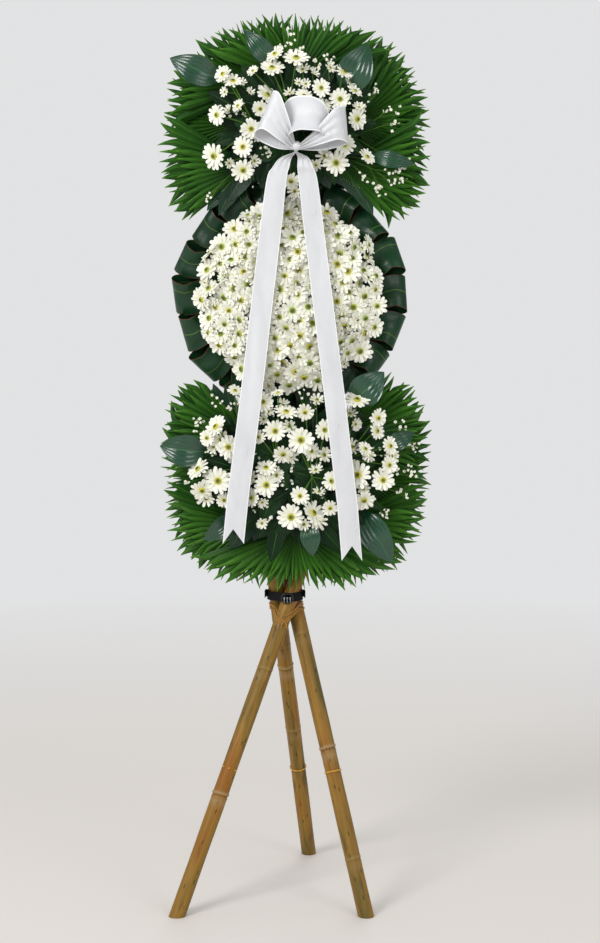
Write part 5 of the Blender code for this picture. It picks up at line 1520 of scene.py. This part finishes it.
def add_loose_breath(panel, centre, size):
    """More baby's breath among the daisies, each cluster from the nearest point of the foam's front."""
    columns, rows = np.array(LOOSE_BREATH[panel], dtype=float).T
    middles = photo_place(columns, rows, LOOSE_BREATH_DEPTH)
    twig = Shape()
    breath_clusters(twig, middles, 6, 0.0065, nearest_in_foam(middles, centre, size, 0.45))
    twig.make("loose_breath_" + panel, [PETAL, STEM])


# Ribbon

def ribbon_part(rows, run):
    """A ribbon through rows of points, with its UV in metres across and along."""
    points, patterns, _ = sheet(rows[None], RIBBON_THICKNESS)
    width = (np.linspace(-1, 1, rows.shape[1]) + 1) / 2 * RIBBON_WIDTH
    metres = pair_up(width[None], run[:, None]).reshape(-1, 2)
    return points, patterns, np.tile(metres, (2, 1))


def add_tail(name, node, stations, side):
    """A tail that leaves the knot gathered to a few millimetres, opens and hangs to a notched end."""
    knot = photo_place(*KNOT_PLACE, KNOT_BACK)
    under = KNOT_RADIUS * math.cos(math.pi / 8) + 0.0003
    root = np.array([knot[0] + side * 0.0017, TAIL_ROOT_DEPTH, knot[2] - under])
    middles = [root, root - (0.0, 0.0, 0.003)]
    halves = [0.0020, 0.0022]
    for number, (row, column, half) in enumerate(stations):
        depth = TAIL_DEPTH - 0.004 * math.sin(number * 1.3 + side) * (0 < number < 7)
        middles.append(photo_place(column, row, depth))
        halves.append(half * PIXEL)
    smooth = smooth_path(np.column_stack((np.array(middles), halves)), 150)
    half = smooth[:, 3:4]
    across = np.linspace(-1, 1, 15)
    rows = smooth[:, None, :3] + (half * across)[..., None] * np.array([1.0, 0.0, 0.0])
    gathered = np.clip(1 - half / 0.019, 0, 1)
    rows[..., 1] += gathered * 0.0040 * np.cos(across * 2.5 * math.pi) * np.clip(half / 0.004, 0, 1)
    along = np.linspace(0, 1, len(rows))[:, None]
    rows[..., 1] += 0.0012 * np.sin(along * 23 + across * 1.3) * along + 0.0016 * (across ** 2) * along
    notch = photo_place(0, 500, TAIL_DEPTH)[2] - photo_place(0, 500 + TAIL_NOTCH_ROWS, TAIL_DEPTH)[2]
    end_share = np.clip((along - 0.93) / 0.07, 0, 1)
    rows[..., 2] -= notch * np.abs(across) * end_share
    run = run_along(rows[:, len(across) // 2])
    tail = Shape()
    tail.add(ribbon_part(rows, run))
    piece = tail.make(name, [SATIN], [node])


# The side loops: column, row, depth and half width across and up, in pixels but for the depth
BOW_LEFT = ((294, 147, -0.147, -0.5, 2.5), (284, 137, -0.143, -6.0, 11.0), (270, 123, -0.143, -8.0, 18.0),
            (264, 116, -0.153, -8.5, 20.0), (265, 111, -0.168, -8.5, 19.0), (272, 112, -0.180, -8.0, 16.0),
            (284, 130, -0.177, -5.0, 9.0), (294, 147, -0.158, -0.5, 2.5))
BOW_RIGHT = ((299, 147, -0.147, 0.5, 2.5), (318, 141, -0.143, 1.0, 9.0), (336, 131, -0.143, 1.5, 15.5),
             (346, 126, -0.154, 1.5, 17.0), (345, 124, -0.168, 1.5, 17.0), (336, 124, -0.180, 1.5, 14.5),
             (318, 136, -0.177, 1.0, 8.0), (299, 147, -0.158, 0.5, 2.5))

# The middle loop's lower and upper edge: column, row, depth
MIDDLE_LOOP_MOUTH = ((295.5, 148, -0.156), (288, 141, -0.170), (290, 134, -0.184), (298, 130, -0.190),
                     (309, 130, -0.192), (319, 131.5, -0.189), (323, 137, -0.178), (312, 146, -0.165),
                     (297, 149, -0.157))
MIDDLE_LOOP_CROWN = ((296, 145, -0.150), (283, 132, -0.148), (281, 112, -0.150), (290, 98, -0.156),
                     (308, 95.5, -0.162), (323, 102, -0.158), (329, 118, -0.152), (317, 136, -0.149),
                     (298, 146, -0.150))


def declare_loop(name, rows, run):
    loop = Shape()
    loop.add(ribbon_part(rows, run))
    piece = loop.make(name, [SATIN], ["ribbon_bow"])


def add_bow_loop(name, stations):
    """A loop of ribbon: a smooth path with a half width at each station, pleated where it is gathered."""
    table = np.array([(*photo_place(column, row, depth), half_x * PIXEL, -half_z * PIXEL)
                      for column, row, depth, half_x, half_z in stations])
    smooth = smooth_path(table, 100)
    across = np.linspace(-1, 1, 21)
    reach = np.column_stack((smooth[:, 3], np.zeros(len(smooth)), smooth[:, 4]))
    rows = smooth[:, None, :3] + across[None, :, None] * reach[:, None]
    half = np.linalg.norm(reach, axis=1)
    gathered = np.clip(1 - half / half.max(), 0, 1)[:, None] * np.clip(half / 0.006, 0, 1)[:, None]
    pleats = gathered * 0.0040 * np.cos(across * 3.2 * math.pi + 0.6)
    normal = unit(np.cross(np.gradient(smooth[:, :3], axis=0), reach))
    rows = rows + pleats[..., None] * normal[:, None]
    declare_loop(name, rows, run_along(smooth[:, :3]))


def add_middle_loop():
    """The loop that stands up and opens towards the front: a sheet between its low front edge and its
    high back edge, swelled outwards between them by a sine."""
    mouth = smooth_path([photo_place(*place) for place in MIDDLE_LOOP_MOUTH], 100)
    crown = smooth_path([photo_place(*place) for place in MIDDLE_LOOP_CROWN], 100)
    share = np.linspace(0, 1, 21)[None, :, None]
    rows = mouth[:, None] + (crown - mouth)[:, None] * share
    along = np.gradient((mouth + crown) / 2, axis=0)
    normal = unit(np.cross(along, crown - mouth))
    half = np.linalg.norm(crown - mouth, axis=1) / 2
    width_share = (half / half.max())[:, None, None]
    rows = rows - normal[:, None] * np.sin(math.pi * share) * 0.011 * width_share ** 2
    gathered = (1 - width_share) * np.clip(half / 0.006, 0, 1)[:, None, None]
    rows = rows + normal[:, None] * (gathered * 0.003 * np.cos(share * 5.5 * math.pi))
    declare_loop("bow_loop_middle", rows, run_along((mouth + crown) / 2))


def add_knot():
    """The gathered middle: a short band of ribbon round the loops' ends, creased along it, whose radius
    falls by the root of a power of the depth towards its rounded front."""
    back = photo_place(*KNOT_PLACE, KNOT_BACK)
    count, sides = 16, 36
    depths = np.linspace(KNOT_BACK, KNOT_FRONT, count)
    paths = np.column_stack((np.full(count, back[0]), depths, np.full(count, back[2])))
    angles = np.arange(sides) * 2 * math.pi / sides
    share = np.linspace(-1, 1, count)
    rounded = np.sqrt(1 - 0.90 * np.clip(share, 0, 1) ** 2.4) * (1 - 0.16 * np.clip(-share, 0, 1) ** 4)
    away = share[:, None]
    creased = 1 + 0.07 * np.sin(angles[None] * 7 + away * 1.6) * (1 - np.clip(away, 0, 1) ** 2)
    radius = KNOT_RADIUS * 0.98 * rounded[:, None] * creased
    points = paths[:, None] + radius[..., None] * (ways_out(angles) * (1.15, 1.0, 1.0))[None]
    index = grid_index(count, sides)
    index = np.hstack((index, index[:, :1]))
    patterns = [quads(index[:-1, :-1], index[1:, :-1], index[1:, 1:], index[:-1, 1:]),
                index[:1, :sides], index[-1:, sides - 1::-1]]
    uv = pair_up((angles / 6.3 * RIBBON_WIDTH)[None], (share * 0.01)[:, None]).reshape(-1, 2)
    knot = Shape()
    knot.add((points.reshape(1, -1, 3), patterns, uv))
    knot.make("bow_knot", [SATIN], ["ribbon_bow"])


# Stage

STUDIO_COLOUR = (0.95, 0.955, 0.965, 1.0)
STUDIO_LEVEL = 0.80
GLOSSY_DIMMING = 0.62
FLOOR_COLOUR = (0.655, 0.620, 0.580)
FLOOR_REACH = 14.0
FADE_START = 0.9
FADE_RATE = 0.42
LAMPS_TARGET = (0.0, 0.0, 1.0)
LAMPS = (("key", (-2.4, -3.0, 3.2), 1.5, 104.0), ("fill", (2.4, -3.0, 2.6), 1.6, 26.0),
         ("rim", (0.5, 3.2, 3.0), 2.0, 25.0))


def add_camera():
    """The camera where the photograph was taken from."""
    data = bpy.data.cameras.new("photo_camera")
    data.lens = VIEW_LENS
    data.sensor_width = VIEW_SENSOR
    camera = bpy.data.objects.new("photo_camera", data)
    camera.location = np.array([VIEW_SIDE_OFFSET, -VIEW_DISTANCE, VIEW_HEIGHT]) + SHIFT
    camera.rotation_euler = (math.radians(90) - VIEW_TILT, 0.0, 0.0)
    bpy.context.scene.collection.objects.link(camera)
    bpy.context.scene.camera = camera


def add_floor():
    """A wide plain floor, which far from the stand fades into the light behind it by its distance."""
    mesh = bpy.data.meshes.new("floor")
    corners = [(x * FLOOR_REACH, y * FLOOR_REACH, 0) for x, y in ((-1, -1), (1, -1), (1, 1), (-1, 1))]
    mesh.from_pydata(corners, [], [(0, 1, 2, 3)])
    material, tree, shader = new_material("pale_floor")
    dress(tree, shader, Base_Color=FLOOR_COLOUR, Roughness=0.75)
    split = tree.nodes.new("ShaderNodeSeparateXYZ")
    tree.links.new(place_on_object(tree), split.inputs[0])
    squares = [maths(tree, "MULTIPLY", split.outputs[axis], split.outputs[axis]) for axis in ("X", "Y")]
    distance = maths(tree, "SQRT", maths(tree, "ADD", *squares))
    far = over(tree, distance, FADE_START, FADE_RATE)
    glow = add_node(tree, "ShaderNodeEmission", in_Color=STUDIO_COLOUR, in_Strength=STUDIO_LEVEL)
    fade = tree.nodes.new("ShaderNodeMixShader")
    for number, value in enumerate((far, shader.outputs[0], glow.outputs[0])):
        tree.links.new(value, fade.inputs[number])
    tree.links.new(fade.outputs[0], tree.nodes["Material Output"].inputs["Surface"])
    mesh.materials.append(material)
    floor = bpy.data.objects.new("floor", mesh)
    bpy.context.scene.collection.objects.link(floor)


def add_area_light(name, place, size, power):
    """A square lamp that faces the middle of the stand."""
    data = bpy.data.lights.new(name, "AREA")
    data.energy = power
    data.size = size
    light = bpy.data.objects.new(name, data)
    light.location = place
    back = unit(np.array(place) - LAMPS_TARGET)
    light.rotation_euler = (math.acos(back[2]), 0.0, math.atan2(back[0], -back[1]))
    bpy.context.scene.collection.objects.link(light)


def add_lights():
    """An even pale surround that is dimmer in reflections, and three soft lamps."""
    world = bpy.data.worlds.new("studio")
    world.use_nodes = True
    background = world.node_tree.nodes["Background"]
    background.inputs["Color"].default_value = STUDIO_COLOUR
    tree = world.node_tree
    kind = tree.nodes.new("ShaderNodeLightPath")
    haze = scaled(tree, kind.outputs["Is Glossy Ray"], GLOSSY_DIMMING * STUDIO_LEVEL)
    tree.links.new(maths(tree, "SUBTRACT", STUDIO_LEVEL, haze), background.inputs["Strength"])
    bpy.context.scene.view_settings.view_transform = "Standard"
    bpy.context.scene.world = world
    for lamp in LAMPS:
        add_area_light(*lamp)


def paint_node(node, look):
    """Gives a part that keeps its shape its finish."""
    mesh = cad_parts[node].data
    mesh.materials.clear()
    mesh.materials.append(look)


add_camera()
for seed, leg in enumerate(LEGS):
    add_leg(leg, seed + 1.0)
add_lashing()
add_leg_bands()
add_string_ends()
add_strap()
add_buckle()
for panel, centre, foam in PANELS:
    for number, (degrees, layer_number) in enumerate(FANS[panel]):
        add_fan(panel, number + 1, centre, foam, degrees, layer_number)
for number in range(FOLDED_LEAVES):
    add_folded_leaf(number)
add_ring_backing()
eyes = add_dome_daisies()
add_dome_buds(eyes)
add_dome_greens()
for add_to_panel in (add_filling, add_backing, add_joint_leaves, add_small_blooms):
    for panel in PANELS:
        add_to_panel(*panel)
for name, (root, blooms) in {**UPPER_SPRAYS, **LOWER_SPRAYS}.items():
    add_spray(name, root, blooms)
for name, (root, heads) in BREATH_TWIGS.items():
    add_breath(name, root, heads)
for panel in PANELS:
    add_loose_breath(*panel)
for name, leaf in GLOSSY_LEAVES.items():
    add_glossy_leaf(name, *leaf, [name])
for name, leaf in MORE_GLOSSY_LEAVES.items():
    add_glossy_leaf(name, *leaf, [])
add_knot()
add_bow_loop("bow_loop_left", BOW_LEFT)
add_bow_loop("bow_loop_right", BOW_RIGHT)
add_middle_loop()
add_tail("satin_tail_left", "ribbon_tail_left", TAIL_LEFT, -1.0)
add_tail("satin_tail_right", "ribbon_tail_right", TAIL_RIGHT, 1.0)
for node in ("foam_upper", "foam_disc", "foam_lower"):
    paint_node(node, FOAM)
paint_node("mast", MAST_PAINT)
paint_node("bow_pick", PICK_WOOD)
add_floor()
add_lights()
